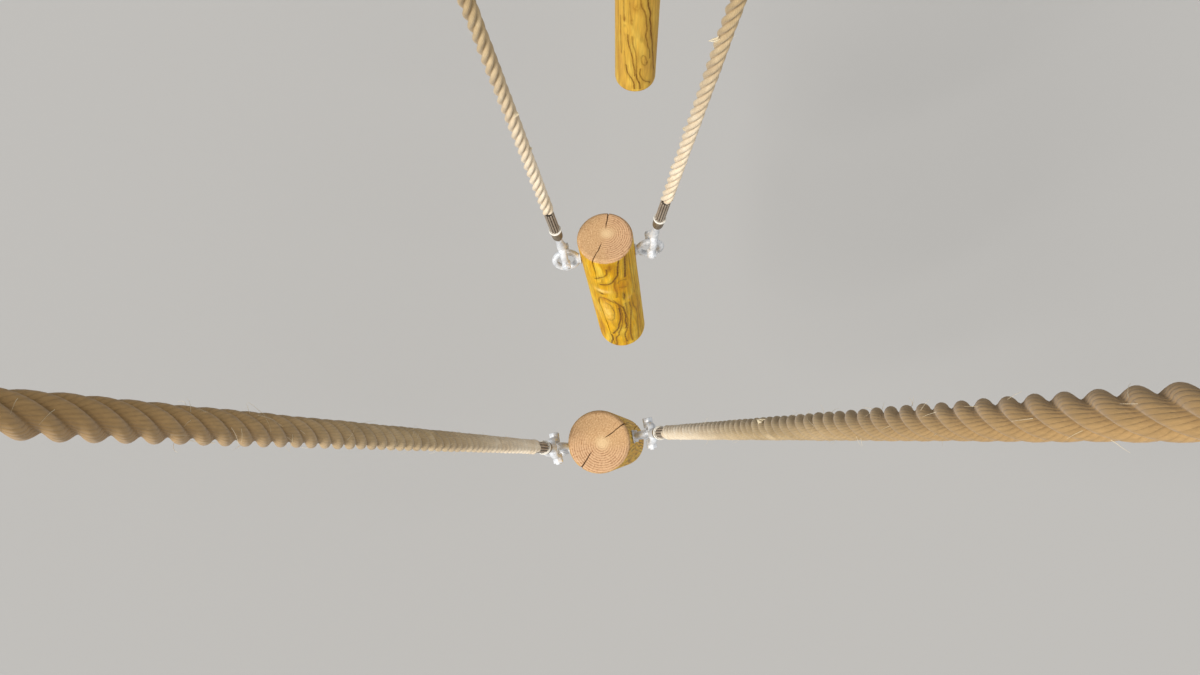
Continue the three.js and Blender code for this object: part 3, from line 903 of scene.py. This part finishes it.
# Pointed tufts of fibre on the second step's ropes: height above the rope's lower end, degrees round, length
TUFTS = {
    "loose_fibres_step_2_right": (
        (0.330, 200, 0.0105),
        (0.262, 20, 0.0040),
        (0.165, 165, 0.0035),
        (0.085, 190, 0.003),
    ),
    "loose_fibres_step_2_left": ((0.225, 340, 0.0045), (0.150, 10, 0.003)),
}


def add_fibre(curve, place, root, run, curl, thick, thinner, steps):
    """One fibre, from its root by its run, both given as distance out, angle round and height. It starts
    thick and ends thinner, in times the usual thickness, and curls out where curl is over 1."""
    spline = curve.splines.new("POLY")
    spline.points.add(steps)
    for k, point in enumerate(spline.points):
        share = k / steps
        out = root[0] + run[0] * share**curl
        around = root[1] + run[1] * share
        along = min(max(root[2] + run[2] * share, 0.001), PRESS_LOW - ROPE_LOW)
        spot = follow_route(np.array([[out * math.cos(around), out * math.sin(around), along]]))
        point.co = (*apply_matrix(spot, place)[0], 1)
        point.radius = thick - thinner * share


def make_fibres(name, place, body, seed, count=90):
    """Loose fibre ends that stand off the rope, with a few small tufts."""
    draw = random.Random(seed)
    curve = bpy.data.curves.new(name, "CURVE")
    curve.dimensions = "3D"
    curve.bevel_depth = 0.00011
    curve.bevel_resolution = 0
    reach = PRESS_LOW - ROPE_LOW
    tufts = [draw.uniform(0.05, reach) for _ in range(4)]
    for i in range(count):
        in_tuft = i % 4 == 0
        at = draw.choice(tufts) + draw.gauss(0, 0.003) if in_tuft else draw.uniform(0.004, reach)
        angle = draw.uniform(0, FULL_TURN)
        lift = draw.uniform(0.0012, 0.0045) * (1.6 if in_tuft else 1.0)
        along = draw.uniform(-0.010, 0.012)
        swirl = draw.uniform(-0.9, 0.9)
        add_fibre(curve, place, (ROPE_RADIUS - 0.0006, angle, at), (lift, swirl, along), 1.3, 1, 0.7, 4)
    usual = ((draw.uniform(0.1, 0.6), draw.uniform(0, 360), 0.004),)
    for height, degrees, long in TUFTS.get(name, usual):
        for _ in range(26):
            aside = draw.gauss(0, 0.22)
            above = draw.gauss(0, 0.0022)
            root = (ROPE_RADIUS - 0.0012, math.radians(degrees) + aside, height + above)
            run = (long * draw.uniform(0.55, 1.0), -aside, -above)
            add_fibre(curve, place, root, run, 1, 3.2, 2.4, 3)
    holder = bpy.data.objects.new(name, curve)
    mesh = bpy.data.meshes.new_from_object(holder)
    bpy.data.objects.remove(holder)
    bpy.data.curves.remove(curve)
    mesh.name = name
    mesh.materials.clear()
    settle(mesh, name, [FIBRE], body, None)


# Press sleeve and thimble at the rope's upper end
def make_press_parts():
    half_x = ROPE_RADIUS + 0.0022
    half_y = LEG_Y + ROPE_RADIUS + 0.0012
    edge = 0.002
    inset = 1 - edge / half_x
    middle = PRESS_LOW + PRESS_LENGTH / 2
    side = [(inset, PRESS_LOW), (1, PRESS_LOW + edge), (1, middle - 0.0015), (0.97, middle)]
    side += [(1, middle + 0.0015), (1, PRESS_TOP - edge), (inset, PRESS_TOP)]
    sleeve = turned([(0.6, PRESS_LOW), *side, (0.6, PRESS_TOP)], 40, closed=True)
    inner, outer, wide = THIMBLE_RADIUS, LOOP_HOLE_RADIUS, 0.0088
    lip = outer + 0.003
    half = [(inner, wide - 0.002), (inner + 0.001, wide), (lip, wide)]
    half += [(lip, wide - 0.0014), (outer, wide - 0.003)]
    thimble = turned([(r, -x) for r, x in half] + [(outer - 0.0004, 0)] + half[::-1], 48, closed=True)
    ring = move_by(0, 0, LOOP_CENTRE) @ ALONG_X
    return [(sleeve, Matrix.Diagonal((half_x, half_y, 1, 1)), ZINC), (thimble, ring, ZINC)]


# End fitting: ribbed ferrule, rim, collar, fork and pin
SEAT_LAP = 0.0002


def ferrule_parts():
    """A dark sleeve with paler ribs along it, drawn in at the top where it grips the rope."""
    low = FORK_LENGTH + COLLAR_LENGTH + RIM_LENGTH - 0.001
    high = low + FERRULE_LENGTH + 0.001
    core = FERRULE_RADIUS - 0.0009
    side = [(core, low), (core, high - 0.006), (core * 0.93, high - 0.001), (core * 0.88, high)]
    parts = [(turned([(0, low), *side, (0, high)], 30), Matrix(), FERRULE)]
    rib = rod(0.0012, low, high - 0.004, 10)
    for k in range(11):
        parts.append((rib, Matrix.Rotation(FULL_TURN * k / 11, 4, "Z") @ move_by(core - 0.0003, 0, 0), RIBS))
    return parts


def fork_bow():
    """The fork's two flat legs and the crown between them."""
    leg = [(-FORK_LEG_Y, -0.001), (-FORK_LEG_Y, 0.008), (-FORK_LEG_Y, 0.016), (-FORK_LEG_Y * 0.70, 0.0255)]
    route = np.array([*leg, (0, 0.0300), *[(-y, z) for y, z in reversed(leg)]])
    points, lengths, _ = smooth_route(route, 0.0016)
    middle = lengths[-1] / 2
    radii = [FORK_LEG_RADIUS * (1 + 0.20 * math.exp(-(((s - middle) / 0.008) ** 2))) for s in lengths]
    return swept([(0, y, z) for y, z in points], radii, 14)


def bolt_parts(spot, radius, wide, seat, head, nut, tail, lead=0.001, steps=24, edge=0.0007):
    """A bolt or pin along Z, with its head on one seat and its nut on the other. How far the head, the nut
    and the pin's two ends reach is counted from the seats, and wide is the radius of the head and the nut."""
    pin = rod(radius, -seat - tail, seat + lead, steps)
    top = hexagon(wide, seat - SEAT_LAP, seat + head, edge)
    low = hexagon(wide, -seat - nut, SEAT_LAP - seat, edge)
    return [(mesh, spot, ZINC) for mesh in (pin, top, low)]


def make_fitting_parts():
    foot, wide, start = COLLAR_FOOT_RADIUS, COLLAR_RADIUS, FORK_LENGTH
    low = start + COLLAR_LENGTH
    high = low + RIM_LENGTH
    side = [(foot - 0.0006, start - 0.001), (foot, start), (foot + 0.0009, start + 0.002)]
    side += [(wide - 0.0009, start + 0.0045), (wide - 0.0003, start + 0.007)]
    side += [(wide, low - 0.001), (wide, low + 0.0005)]
    collar = turned([(0, start - 0.001), *side, (0, low + 0.0005)], 36)
    side = [(RIM_RADIUS - 0.0009, low), (RIM_RADIUS, low + 0.0008), (RIM_RADIUS, high - 0.0008)]
    side += [(RIM_RADIUS - 0.0007, high), (RIM_RADIUS - 0.0013, high - 0.0010)]
    rim = turned([(0.005, low), *side, (0.005, high - 0.0010)], 44, closed=True)
    side = [(0, 0.025), (0.0054, 0.026), (0.0064, 0.030), (0.0060, 0.038), (0.0049, 0.049)]
    neck = turned([*side, (0.0046, start), (0, start)], 28)
    inner = FORK_LEG_Y - FORK_LEG_RADIUS
    outer = FORK_LEG_Y + FORK_LEG_RADIUS
    side = [(0.0056, inner), (0.0063, inner + 0.0008), (0.0063, outer - 0.0008), (0.0056, outer)]
    boss = turned([(0.002, inner), *side, (0.002, outer)], 32, closed=True)
    head = FORK_PIN_HEAD_LENGTH
    sizes = {"radius": FORK_PIN_RADIUS, "wide": FORK_PIN_HEAD_RADIUS, "seat": outer}
    sizes |= {"head": head, "nut": head - 0.0006, "tail": head + 0.0012}
    return [
        *ferrule_parts(),
        (fork_bow(), Matrix.Diagonal((1.42, 1, 1, 1)), ZINC),
        (neck, Matrix.Diagonal((1.08, 1, 1, 1)), ZINC),
        (collar, Matrix(), COLLAR),
        (rim, Matrix(), RIM),
        (boss, ALONG_Y, ZINC),
        (boss, half_turn(-1) @ ALONG_Y, ZINC),
        *bolt_parts(ALONG_Y, steps=20, edge=0.0009, **sizes),
    ]


# Eye bolt: through bolt, washers, nuts and a ring eye on each side
def make_eye_parts():
    near = LOG_RADIUS + GAP
    hub_end = EYE_X - EYE_RING_RADIUS + 0.001
    parts = [(rod(EYE_BOLT_RADIUS, -hub_end, hub_end), ALONG_X, ZINC)]
    eye = ring_bar(EYE_RING_RADIUS, EYE_BAR_RADIUS)
    disc = washer(EYE_BOLT_RADIUS, EYE_WASHER_RADIUS, near, near + 0.0015)
    nut = hexagon(EYE_NUT_RADIUS, near + 0.0012, hub_end + 0.0005)
    for word, side in SIDES:
        turn = Matrix.Rotation(EYE_TURNS[word] + math.pi / 2, 4, "X")
        parts.append((eye, move_by(side * EYE_X, 0, 0) @ turn, ZINC))
        parts += [(mesh, half_turn(side) @ ALONG_X, ZINC) for mesh in (disc, nut)]
    return parts


# Log step: turned, a little uneven, split by drying
CRACKS = (
    # depth and degrees round the log, depth and how open, inner radius on the top face, width, deepest
    (
        ((0, -123), (0.06, -123), (0.165, -131), (0.24, -124), (0.30, -120), (0.36, -112)),
        ((0, 1), (0.045, 0.8), (0.075, 0.25), (0.11, 0), (0.14, 0.15), (0.17, 0.9), (0.30, 1), (0.35, 0.6)),
        0.008, 0.00050, 0.0062,
    ),
    (((0, 76), (0.10, 79)), ((0, 1), (0.05, 0.6), (0.09, 0)), 0.014, 0.00060, 0.0058),
)
SECTOR_START = math.radians(-136)
# End of each sector in degrees, counted from the first one's start, and the steps in it
SECTORS = ((32, 40), (120, 36), (204, 20), (220, 24), (360, 30))
FINE_SECTORS = {
    1: ((32, 52), (120, 108), (204, 20), (220, 24), (360, 36)),
    2: ((32, 40), (204, 50), (220, 24), (331, 100), (360, 12)),
}
# Rows down a log's side
ROWS = 100
FINE_ROWS = {1: 240, 2: 190}

# Grain lines drawn on the second and third logs, the ones seen from near: how dark, half width in
# millimetres, then degrees round the log and millimetres under its top, point after point
GRAIN_LINES = {
    1: (
        (0.90, 1.5, -68, 2, -71, 16, -74, 35, -77, 52, -84, 62, -91, 72, -97, 76, -107, 79, -116, 81),
        (0.75, 1.2, -97, 24, -97, 33, -99, 42, -106, 50, -113, 54, -120, 60, -127, 65),
        (0.90, 1.5, -52, 2, -54, 16, -56, 33, -58, 52, -60, 68),
        (0.50, 1.1, -47, 2, -49, 16, -52, 33, -55, 54),
        (0.60, 1.3, -83, 57, -84, 72, -87, 88, -85, 102, -84, 117, -87, 130),
        (0.60, 1.1, -78, 80, -75, 73, -66, 74, -59, 80),
        (0.60, 1.1, -77, 95, -69, 99, -62, 104),
        (0.60, 1.1, -121, 133, -130, 146, -134, 162),
        (0.75, 1.3, -117, 133, -109, 136, -100, 144, -91, 152, -84, 163, -78, 176, -76, 190),
        (0.60, 1.1, -113, 152, -105, 160, -101, 174, -99, 190, -101, 206, -104, 222, -110, 229, -117, 226),
        (0.90, 1.4, -86, 174, -86, 190, -86, 212, -89, 231, -93, 244, -98, 266, -104, 277, -113, 293),
        (0.70, 1.1, -95, 141, -89, 152, -85, 168, -82, 190, -81, 212, -84, 233, -87, 250),
        (0.75, 1.3, -87, 250, -91, 266, -97, 282, -100, 299, -106, 309, -108, 326, -109, 345, -111, 352),
        (0.85, 1.4, -77, 174, -75, 190, -74, 217, -77, 239, -76, 258, -79, 269),
        (0.65, 1.2, -69, 163, -69, 190, -71, 217, -72, 244, -74, 266, -79, 282),
        (0.75, 1.3, -79, 282, -84, 296, -84, 315, -82, 334),
        (0.70, 1.3, -60, 168, -58, 190, -60, 217, -64, 244, -67, 271, -69, 299, -69, 320, -67, 339),
        (0.50, 1.3, -51, 152, -52, 174, -50, 195, -44, 214, -43, 250, -46, 300, -50, 345),
        (0.80, 1.6, -118, 301, -116, 315, -122, 339, -125, 352),
        (0.45, 1.3, -42, 6, -42, 90, -41, 150),
        (0.40, 1.2, -33, 6, -35, 180, -36, 345),
        (0.40, 1.2, -25, 6, -26, 180, -28, 345),
        (0.45, 1.0, -125, 132, -132, 165, -135, 205),
        (0.40, 1.0, -148, 215, -144, 270, -138, 330),
        (0.35, 1.0, -160, 20, -162, 120, -168, 220),
    ),
    2: (
        (0.55, 1.1, -126, 6, -127, 60, -127, 100, -126, 140, -125, 157),
        (0.55, 1.1, -138, 150, -137, 190, -136, 214, -134, 250),
        (0.60, 1.2, -88, 6, -86, 60, -82, 105),
        (0.70, 1.3, -82, 105, -78, 117, -72, 127, -68, 140, -66, 157, -63, 177, -66, 192, -62, 207),
        (0.60, 1.2, -62, 207, -58, 225, -52, 240, -50, 262),
        (0.90, 1.5, -68, 6, -66, 60, -64, 100, -62, 117, -55, 137, -56, 152, -52, 170, -51, 187, -47, 205),
        (0.80, 1.3, -47, 205, -43, 225, -42, 242, -38, 260, -35, 280, -32, 300, -26, 315, -23, 345),
        (0.75, 1.2, -114, 190, -113, 207, -107, 227, -100, 250, -97, 270, -93, 287, -92, 305),
        (0.60, 1.1, -102, 192, -100, 210, -92, 235, -89, 255, -88, 280, -88, 300),
        (0.80, 1.3, -88, 300, -85, 315, -78, 330, -76, 347),
        (0.80, 1.3, -118, 277, -112, 300, -102, 312, -95, 325, -92, 345),
        (0.70, 1.2, -77, 285, -78, 300, -72, 315, -62, 327, -50, 335, -43, 342),
        (0.60, 0.8, -76, 252, -72, 246, -66, 250, -61, 262, -58, 272, -62, 278, -69, 274, -75, 262, -76, 252),
        (0.40, 1.0, -124, 240, -120, 258, -120, 277),
        (0.45, 1.1, -114, 6, -112, 70, -108, 130, -104, 150),
        (0.40, 1.1, -150, 6, -148, 120, -146, 240, -140, 345),
    ),
}
# Where the drawn lines give way to the plain rings, in degrees round the log
DRAWN_FROM = (-178, -160)
DRAWN_TO = (-30, -12)

# For each log: how pale it is, then how far its cracks and its figure are turned, in radians, and how far
# the figure is moved along it, in metres
LOG_TONES = (0.2, 0.0, 0.55, 0.35, 0.1)
LOG_LOOKS = ((2.6, 1.9, 1.31), (0.0, 0.0, 0.0), (2.35, -0.35, 0.62), (4.4, 0.8, 0.95), (1.2, -1.1, 1.70))


def log_profile(rows):
    """Radius and depth under the top, from the middle of the top face to the middle of the foot."""
    points = [((LOG_RADIUS - LOG_CHAMFER) * k / 16, 0.0) for k in range(17)]
    points.append((LOG_RADIUS - LOG_CHAMFER * 0.45, -LOG_CHAMFER * 0.40))
    points.append((LOG_RADIUS - 0.0006, -LOG_CHAMFER * 0.85))
    side_low = -LOG_LENGTH + LOG_FOOT_ROUNDING
    side_top = -LOG_CHAMFER - 0.0008
    points += [(LOG_RADIUS, side_top + (side_low - side_top) * k / rows) for k in range(rows + 1)]
    foot = LOG_RADIUS - LOG_FOOT_ROUNDING
    for a in (math.pi / 2 * k / 5 for k in range(1, 6)):
        points.append((foot + LOG_FOOT_ROUNDING * math.cos(a), side_low - LOG_FOOT_ROUNDING * math.sin(a)))
    return points + [(foot * k / 4, -LOG_LENGTH) for k in range(3, -1, -1)]


def make_log_blank(rows, sectors):
    bm = bmesh.new()
    turn = Matrix.Rotation(SECTOR_START, 3, "Z")
    verts = [bm.verts.new(turn @ Vector((r, 0, z))) for r, z in log_profile(rows)]
    geometry = verts + [bm.edges.new(pair) for pair in zip(verts, verts[1:])]
    begun = 0
    for end, steps in sectors:
        geometry = spin(bm, geometry, steps, math.radians(end - begun))
        begun = end
    return skin_of(bm, 2e-6)


LOG_BLANK = make_log_blank(ROWS, SECTORS)
FINE_LOG_BLANKS = {index: make_log_blank(FINE_ROWS[index], fine) for index, fine in FINE_SECTORS.items()}


def wave_at(x, y, z):
    return noise.noise(Vector((x, y, z)))


def crack_depth(x, y, z, seed):
    """How open a drying crack is at a point of the log's skin, from 0 to 1, and how deep it goes."""
    radius = math.hypot(x, y)
    azimuth = math.atan2(y, x)
    best = (0.0, 0.0)
    for course, openness, inner, width, deepest in CRACKS:
        jitter = 0.9 * wave_at(seed, 40 * z, 3.1) + 0.5 * wave_at(seed, 190 * z, 7.7)
        line = math.radians(np.interp(-z, *zip(*course))) + jitter * 0.016
        if z > -0.0005:
            line += 0.05 * wave_at(radius * 120, seed, 1.3)
        away = abs((azimuth - line + math.pi) % FULL_TURN - math.pi) * radius
        strength = min(max((radius - inner) / 0.010, 0), 1) * np.interp(-z, *zip(*openness))
        patch = 0.80 + 0.5 * wave_at(seed + 5, 26 * z, radius * 60)
        opened = math.exp(-((away / (width * patch)) ** 2)) * strength
        if opened > best[0]:
            best = (opened, deepest * patch)
    return best


# Each drawn line has thinner, fainter ones beside it: how far aside, how dark and how wide
LINE_COPIES = (
    (0, 1, 0.0011),
    (-0.0044, 0.30, 0.0007),
    (-0.0022, 0.40, 0.0007),
    (0.0023, 0.42, 0.0007),
    (0.0047, 0.28, 0.0007),
)


def drawn_lines(index, points):
    """How dark the drawn grain lines are at points of the log's skin, and how much plain rings show there."""
    degrees = np.degrees(np.arctan2(points[:, 1], points[:, 0]))
    scale = np.array([math.radians(1) * LOG_RADIUS, 0.001])
    skin = np.column_stack([degrees * scale[0], -points[:, 2]])
    dark = np.zeros(len(points))
    for strength, width, *spots in GRAIN_LINES.get(index, ()):
        course, _, heading = smooth_route(np.reshape(spots, (-1, 2)) * scale, 0.0012)
        aside = np.column_stack([heading[:, 1], -heading[:, 0]])
        for shift, share, size in LINE_COPIES:
            half = width * size
            line = course + aside * shift
            low, high = line.min(axis=0) - 4 * half, line.max(axis=0) + 4 * half
            near = np.flatnonzero(np.all((skin > low) & (skin < high), axis=1))
            away = np.full(len(near), 1.0)
            for spot in line:
                away = np.minimum(away, np.sum((skin[near] - spot) ** 2, axis=1))
            tone = 0.80 * np.exp(-away / half**2) + 0.36 * np.exp(-away / (2.4 * half) ** 2)
            dark[near] = np.maximum(dark[near], strength * share * tone)
    drawn = np.interp(degrees, (*DRAWN_FROM, *DRAWN_TO), (0, 1, 1, 0)) * (index in GRAIN_LINES)
    return dark * drawn, 0.85 - 0.50 * drawn


def make_log(index, place, body, replaced):
    """One log: its figure and its cracks are turned and shifted, so that no two are alike."""
    mesh = FINE_LOG_BLANKS.get(index, LOG_BLANK).copy()
    points = coordinates(mesh)
    seed = 11.0 * index
    crack_turn, figure_turn, shift = LOG_LOOKS[index]
    ends = np.zeros(len(points))
    crack_shade = np.zeros(len(points))
    shaped = points.copy()
    for i, (x, y, z) in enumerate(points):
        opened, deepest = crack_depth(x, y, z, seed)
        wave = wave_at(x * 30, y * 30, z * 9 + seed) * 0.00045
        wave += wave_at(x * 220, y * 220, z * 30 + seed) * 0.00012
        inwards = min(wave, 0) - opened * deepest
        if z > -LOG_CHAMFER * 0.9:
            shaped[i, 2] += inwards
        else:
            shaped[i, :2] *= 1 + inwards / max(math.hypot(x, y), 1e-6)
        near_end = min(-z, LOG_LENGTH + z)
        ragged = 0.0012 * wave_at(x * 260, y * 260, seed)
        ends[i] = min(max((LOG_CHAMFER * 1.15 + ragged - near_end) / 0.0012, 0), 1)
        # How much painted shade each point in a crack gets
        crack_shade[i] = min(opened * 1.8, 1)
    turn = np.array(Matrix.Rotation(crack_turn, 3, "Z")).T
    set_coordinates(mesh, apply_matrix(shaped @ turn, place))
    points = points @ turn
    lines, rings = drawn_lines(index, points)
    turn = np.array(Matrix.Rotation(figure_turn, 3, "Z")).T
    set_attribute(mesh, "log_place", points @ turn - np.array([0, 0, shift]))
    set_attribute(mesh, "end_grain", ends)
    set_attribute(mesh, "crack", crack_shade)
    set_attribute(mesh, "grain_lines", lines)
    set_attribute(mesh, "ring_share", rings)
    set_attribute(mesh, "log_tone", np.full(len(points), LOG_TONES[index]))
    settle(mesh, "log_step_" + str(index + 1), [PINE], body, replaced)


# Cable clamp with its hanger pin, in the frame of the cable's axis, with the rope hanging along -Z
CLAMP_BOLT_Y = 0.011
CLAMP_BOLT_Z = 0.0145


def make_clamp_parts():
    wide = CLAMP_HALF_WIDTH
    inner = CLAMP_INNER_HALF_WIDTH
    outline = [(0.0006, CLAMP_TOP), (wide - 0.003, CLAMP_TOP), (wide, CLAMP_TOP - 0.003)]
    outline += [(wide, -CLAMP_CHEEK_END), (inner, -CLAMP_CHEEK_END)]
    outline += [(inner, -CLAMP_UNDERSIDE), (0.0006, -CLAMP_UNDERSIDE)]
    parts = []
    for _, side in SIDES:
        corners = [(side * x, -CLAMP_LENGTH / 2, z) for x, z in outline]
        parts.append((plate(corners, (0, CLAMP_LENGTH, 0), 0.0012), Matrix(), ZINC))
    sizes = {"radius": 0.004, "wide": 0.0075, "head": 0.0056, "nut": 0.0065, "tail": 0.009}
    for y in (-CLAMP_BOLT_Y, CLAMP_BOLT_Y):
        parts += bolt_parts(move_by(0, y, CLAMP_BOLT_Z) @ ALONG_X, seat=wide, steps=20, **sizes)
    hanger = move_by(0, 0, -HANGER_PIN_DROP) @ ALONG_X
    sizes = {"radius": HANGER_PIN_RADIUS, "wide": 0.010, "head": 0.0078, "nut": 0.0078, "tail": 0.010}
    return parts + bolt_parts(hanger, seat=wide, **sizes)


# Cable with its end eyes
CABLE_STRANDS = laid_strands(FAR_EYE_Y - NEAR_EYE_Y - 0.1, 6, CABLE_RADIUS, 0.36, CABLE_LAY, 30, 12)


def make_cable(word, side):
    node_name = word + "_carrying_cable"
    mesh = CABLE_STRANDS.copy()
    start = move_by(side * CABLE_X, NEAR_EYE_Y + 0.05, 0) @ ALONG_Y
    set_coordinates(mesh, apply_matrix(coordinates(mesh), start))
    settle(mesh, word + "_wire_rope", [WIRE], "frame", node_name)
    half = CABLE_EYE_THICKNESS / 2
    eye = washer(ANCHOR_PIN_RADIUS + 2 * GAP, CABLE_EYE_RADIUS, -half, half, 40)
    near = CABLE_EYE_RADIUS - 0.006
    far = CABLE_EYE_RADIUS - 0.004 + SLEEVE_LENGTH
    wide = SLEEVE_RADIUS
    rise = [(0.0062, near), (0.0070, near + 0.008), (wide - 0.0005, near + 0.012), (wide, near + 0.014)]
    fall = [(wide, far - 0.004), (wide - 0.002, far - 0.0012), (CABLE_RADIUS, far)]
    sleeve = turned([(0, near), *rise, *fall, (0, far)], 36)
    parts = []
    for y, way in ((NEAR_EYE_Y, 1), (FAR_EYE_Y, -1)):
        spot = move_by(side * CABLE_X, y, 0)
        parts += [(eye, spot @ ALONG_X, ZINC), (sleeve, spot @ half_turn(way) @ ALONG_Y, ZINC)]
    piece(word + "_cable_eyes", parts, Matrix(), "frame", node_name)


# Fork bolts and turnbuckles that hold the cables to the beams
STUD_NUT_RADIUS = 0.012
STUD_WASHER_RADIUS = 0.016
TUBE_RADIUS = 0.013
FORK_REACH = 0.034
TUBE_LENGTH = 0.100
BOSS_LENGTH = 0.012
CHEEK_HALF_HEIGHT = 0.015


def make_cheek():
    """A fork's cheek: a plate 8 mm thick along X, with a round nose."""
    half = CHEEK_HALF_HEIGHT
    nose = [math.pi * (k / 12 - 0.5) for k in range(13)]
    outline = [(0, -half), *[(0.031 + half * math.cos(a), half * math.sin(a)) for a in nose], (0, half)]
    return plate([(-0.004, y, z) for y, z in outline], (0.008, 0, 0), 0.0012)


def anchor_parts(eye_distance, tube_length):
    front = BEAM_DEPTH + GAP
    back = RECESS_DEPTH - GAP
    fork_base = BEAM_DEPTH + eye_distance - FORK_REACH
    low = fork_base - tube_length
    along_y = [
        threaded(STUD_RADIUS, 0.004, low + 0.004),
        washer(STUD_RADIUS, STUD_WASHER_RADIUS, back - 0.003, back),
        hexagon(STUD_NUT_RADIUS, 0.005, back - 0.003),
        washer(STUD_RADIUS, STUD_WASHER_RADIUS, front, front + 0.003),
        hexagon(STUD_NUT_RADIUS, front + 0.003, front + 0.013),
    ]
    across = []
    if tube_length > BOSS_LENGTH:
        high = fork_base - 0.014
        side = [(0.0115, low), (TUBE_RADIUS, low + 0.002), (TUBE_RADIUS, high - 0.002), (0.0115, high)]
        along_y.append(turned([(STUD_RADIUS, low), *side, (STUD_RADIUS, high)], 36, closed=True))
        along_y.append(hexagon(STUD_NUT_RADIUS, low - 0.010, low))
        along_y.append(threaded(STUD_RADIUS, fork_base - 0.020, fork_base + 0.001))
        hole = move_by(0, low + tube_length * 0.42, 0) @ ALONG_X
        across.append((rod(0.004, -0.0133, 0.0133), hole, COLLAR))
    else:
        side = [(0.0105, low), (TUBE_RADIUS, low + 0.003), (TUBE_RADIUS, fork_base)]
        along_y.append(turned([(0, low), *side, (0, fork_base)], 32))
    cheek = CABLE_EYE_THICKNESS / 2 + 0.002
    seat = cheek + 0.008
    corners = [(-seat, 0), (seat, 0), (seat, 0.009), (-seat, 0.009)]
    crown = plate([(x, -CHEEK_HALF_HEIGHT, z) for x, z in corners], (0, 2 * CHEEK_HALF_HEIGHT, 0), 0.0016)
    across.append((crown, move_by(0, fork_base, 0) @ ALONG_Y, ZINC))
    for _, side in SIDES:
        across.append((make_cheek(), move_by(side * (cheek + 0.004), fork_base, 0), ZINC))
    pin = move_by(0, BEAM_DEPTH + eye_distance, 0) @ ALONG_X
    sizes = {"radius": ANCHOR_PIN_RADIUS, "wide": 0.011, "head": 0.008, "nut": 0.007, "tail": 0.008}
    across += bolt_parts(pin, seat=seat, lead=0.006, **sizes)
    return [(mesh, ALONG_Y, ZINC) for mesh in along_y] + across


# Build the bridge
PRESS_PARTS = make_press_parts()
FITTING_PARTS = make_fitting_parts()
EYE_PARTS = make_eye_parts()
CLAMP_PARTS = make_clamp_parts()
TURNBUCKLE_PARTS = anchor_parts(NEAR_REACH, TUBE_LENGTH)
FORK_BOLT_PARTS = anchor_parts(FAR_REACH, BOSS_LENGTH)
FORWARD = Vector((0, 1, 0))

for index in range(STEP_COUNT):
    body = "step_" + str(index + 1)
    at_bolt = swing_place(index) @ bolt_place(index)
    make_log(index, at_bolt @ move_by(0, 0, EYE_DROP), body, body + "_log")
    piece("ring_eyes_" + body, EYE_PARTS, at_bolt, body, body + "_eye_bolt")
    for word, side in SIDES:
        label = body + "_" + word
        along, length = rope_line(index, word, side, FORWARD)
        along = along @ Matrix.Diagonal((1, 1, length / PIN_HEIGHT, 1))
        across, _ = rope_line(index, word, side, bolt_place(index).to_3x3() @ FORWARD)
        seed = 2 * index + (side > 0)
        make_rope("laid_rope_" + label, along, body, label + "_rope", seed)
        make_fibres("loose_fibres_" + label, along, body, 100 + seed)
        piece("thimble_and_press_" + label, PRESS_PARTS, along, body, label + "_rope")
        piece("rope_end_" + label, FITTING_PARTS, across, body, label + "_end_fitting")
        on_cable = move_by(side * CABLE_X, step_y(index), 0) @ Matrix.Rotation(side * HANG_ANGLE, 4, "Y")
        piece("clamp_" + label, CLAMP_PARTS, on_cable, "frame", label + "_cable_clamp")

for word, side in SIDES:
    make_cable(word, side)
    near_end = move_by(side * CABLE_X, 0, 0)
    far_end = move_by(side * CABLE_X, BRIDGE_LENGTH, 0) @ half_turn(-1)
    piece("turnbuckle_" + word, TURNBUCKLE_PARTS, near_end, "frame", "near_" + word + "_turnbuckle")
    piece("fork_bolt_" + word, FORK_BOLT_PARTS, far_end, "frame", "far_" + word + "_fork_bolt")

for node_name, material in BEAMS.items():
    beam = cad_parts[node_name]
    beam.data.materials.clear()
    beam.data.materials.append(material)


# Floor, light and camera
def link(made):
    bpy.context.scene.collection.objects.link(made)
    return made


def paint_floor(tree):
    return {"Base Color": (0.44, 0.43, 0.415, 1), "Roughness": 0.9}


def make_floor():
    bm = bmesh.new()
    bmesh.ops.create_grid(bm, x_segments=1, y_segments=1, size=30)
    mesh = to_mesh(bm, "floor")
    mesh.materials.append(make_material("pale_floor", paint_floor))
    floor = link(bpy.data.objects.new("floor", mesh))
    floor.location.z = FLOOR_Z


def soft_light(name, place, spread, strength):
    """Light from far off, as soft as a broad screen that spans the given degrees."""
    lamp = bpy.data.lights.new(name, "SUN")
    lamp.angle = math.radians(spread)
    lamp.energy = strength
    lamp.color = (1.0, 0.98, 0.95)
    holder = link(bpy.data.objects.new(name, lamp))
    holder.location = place
    holder.rotation_euler = (LIGHT_AIM - Vector(place)).to_track_quat("-Z", "Y").to_euler()


def make_world():
    world = bpy.data.worlds.new("soft_room")
    world.use_nodes = True
    back = world.node_tree.nodes["Background"]
    back.inputs["Color"].default_value = (0.86, 0.90, 0.94, 1)
    back.inputs["Strength"].default_value = 0.34
    bpy.context.scene.world = world
    bpy.context.scene.view_settings.view_transform = "Standard"


def make_camera():
    lens = bpy.data.cameras.new("camera")
    lens.sensor_width = SENSOR_WIDTH
    lens.lens = SENSOR_WIDTH * FOCAL_LENGTH_IN_WIDTHS
    lens.clip_start = 0.01
    holder = link(bpy.data.objects.new("camera", lens))
    holder.location = CAMERA_PLACE
    holder.rotation_euler = CAMERA_TURN
    bpy.context.scene.camera = holder


make_floor()
make_world()
soft_light("key", (-2.0, -1.1, 1.4), 30, 3.2)
soft_light("fill", (1.8, -0.3, 2.1), 40, 0.9)
make_camera()
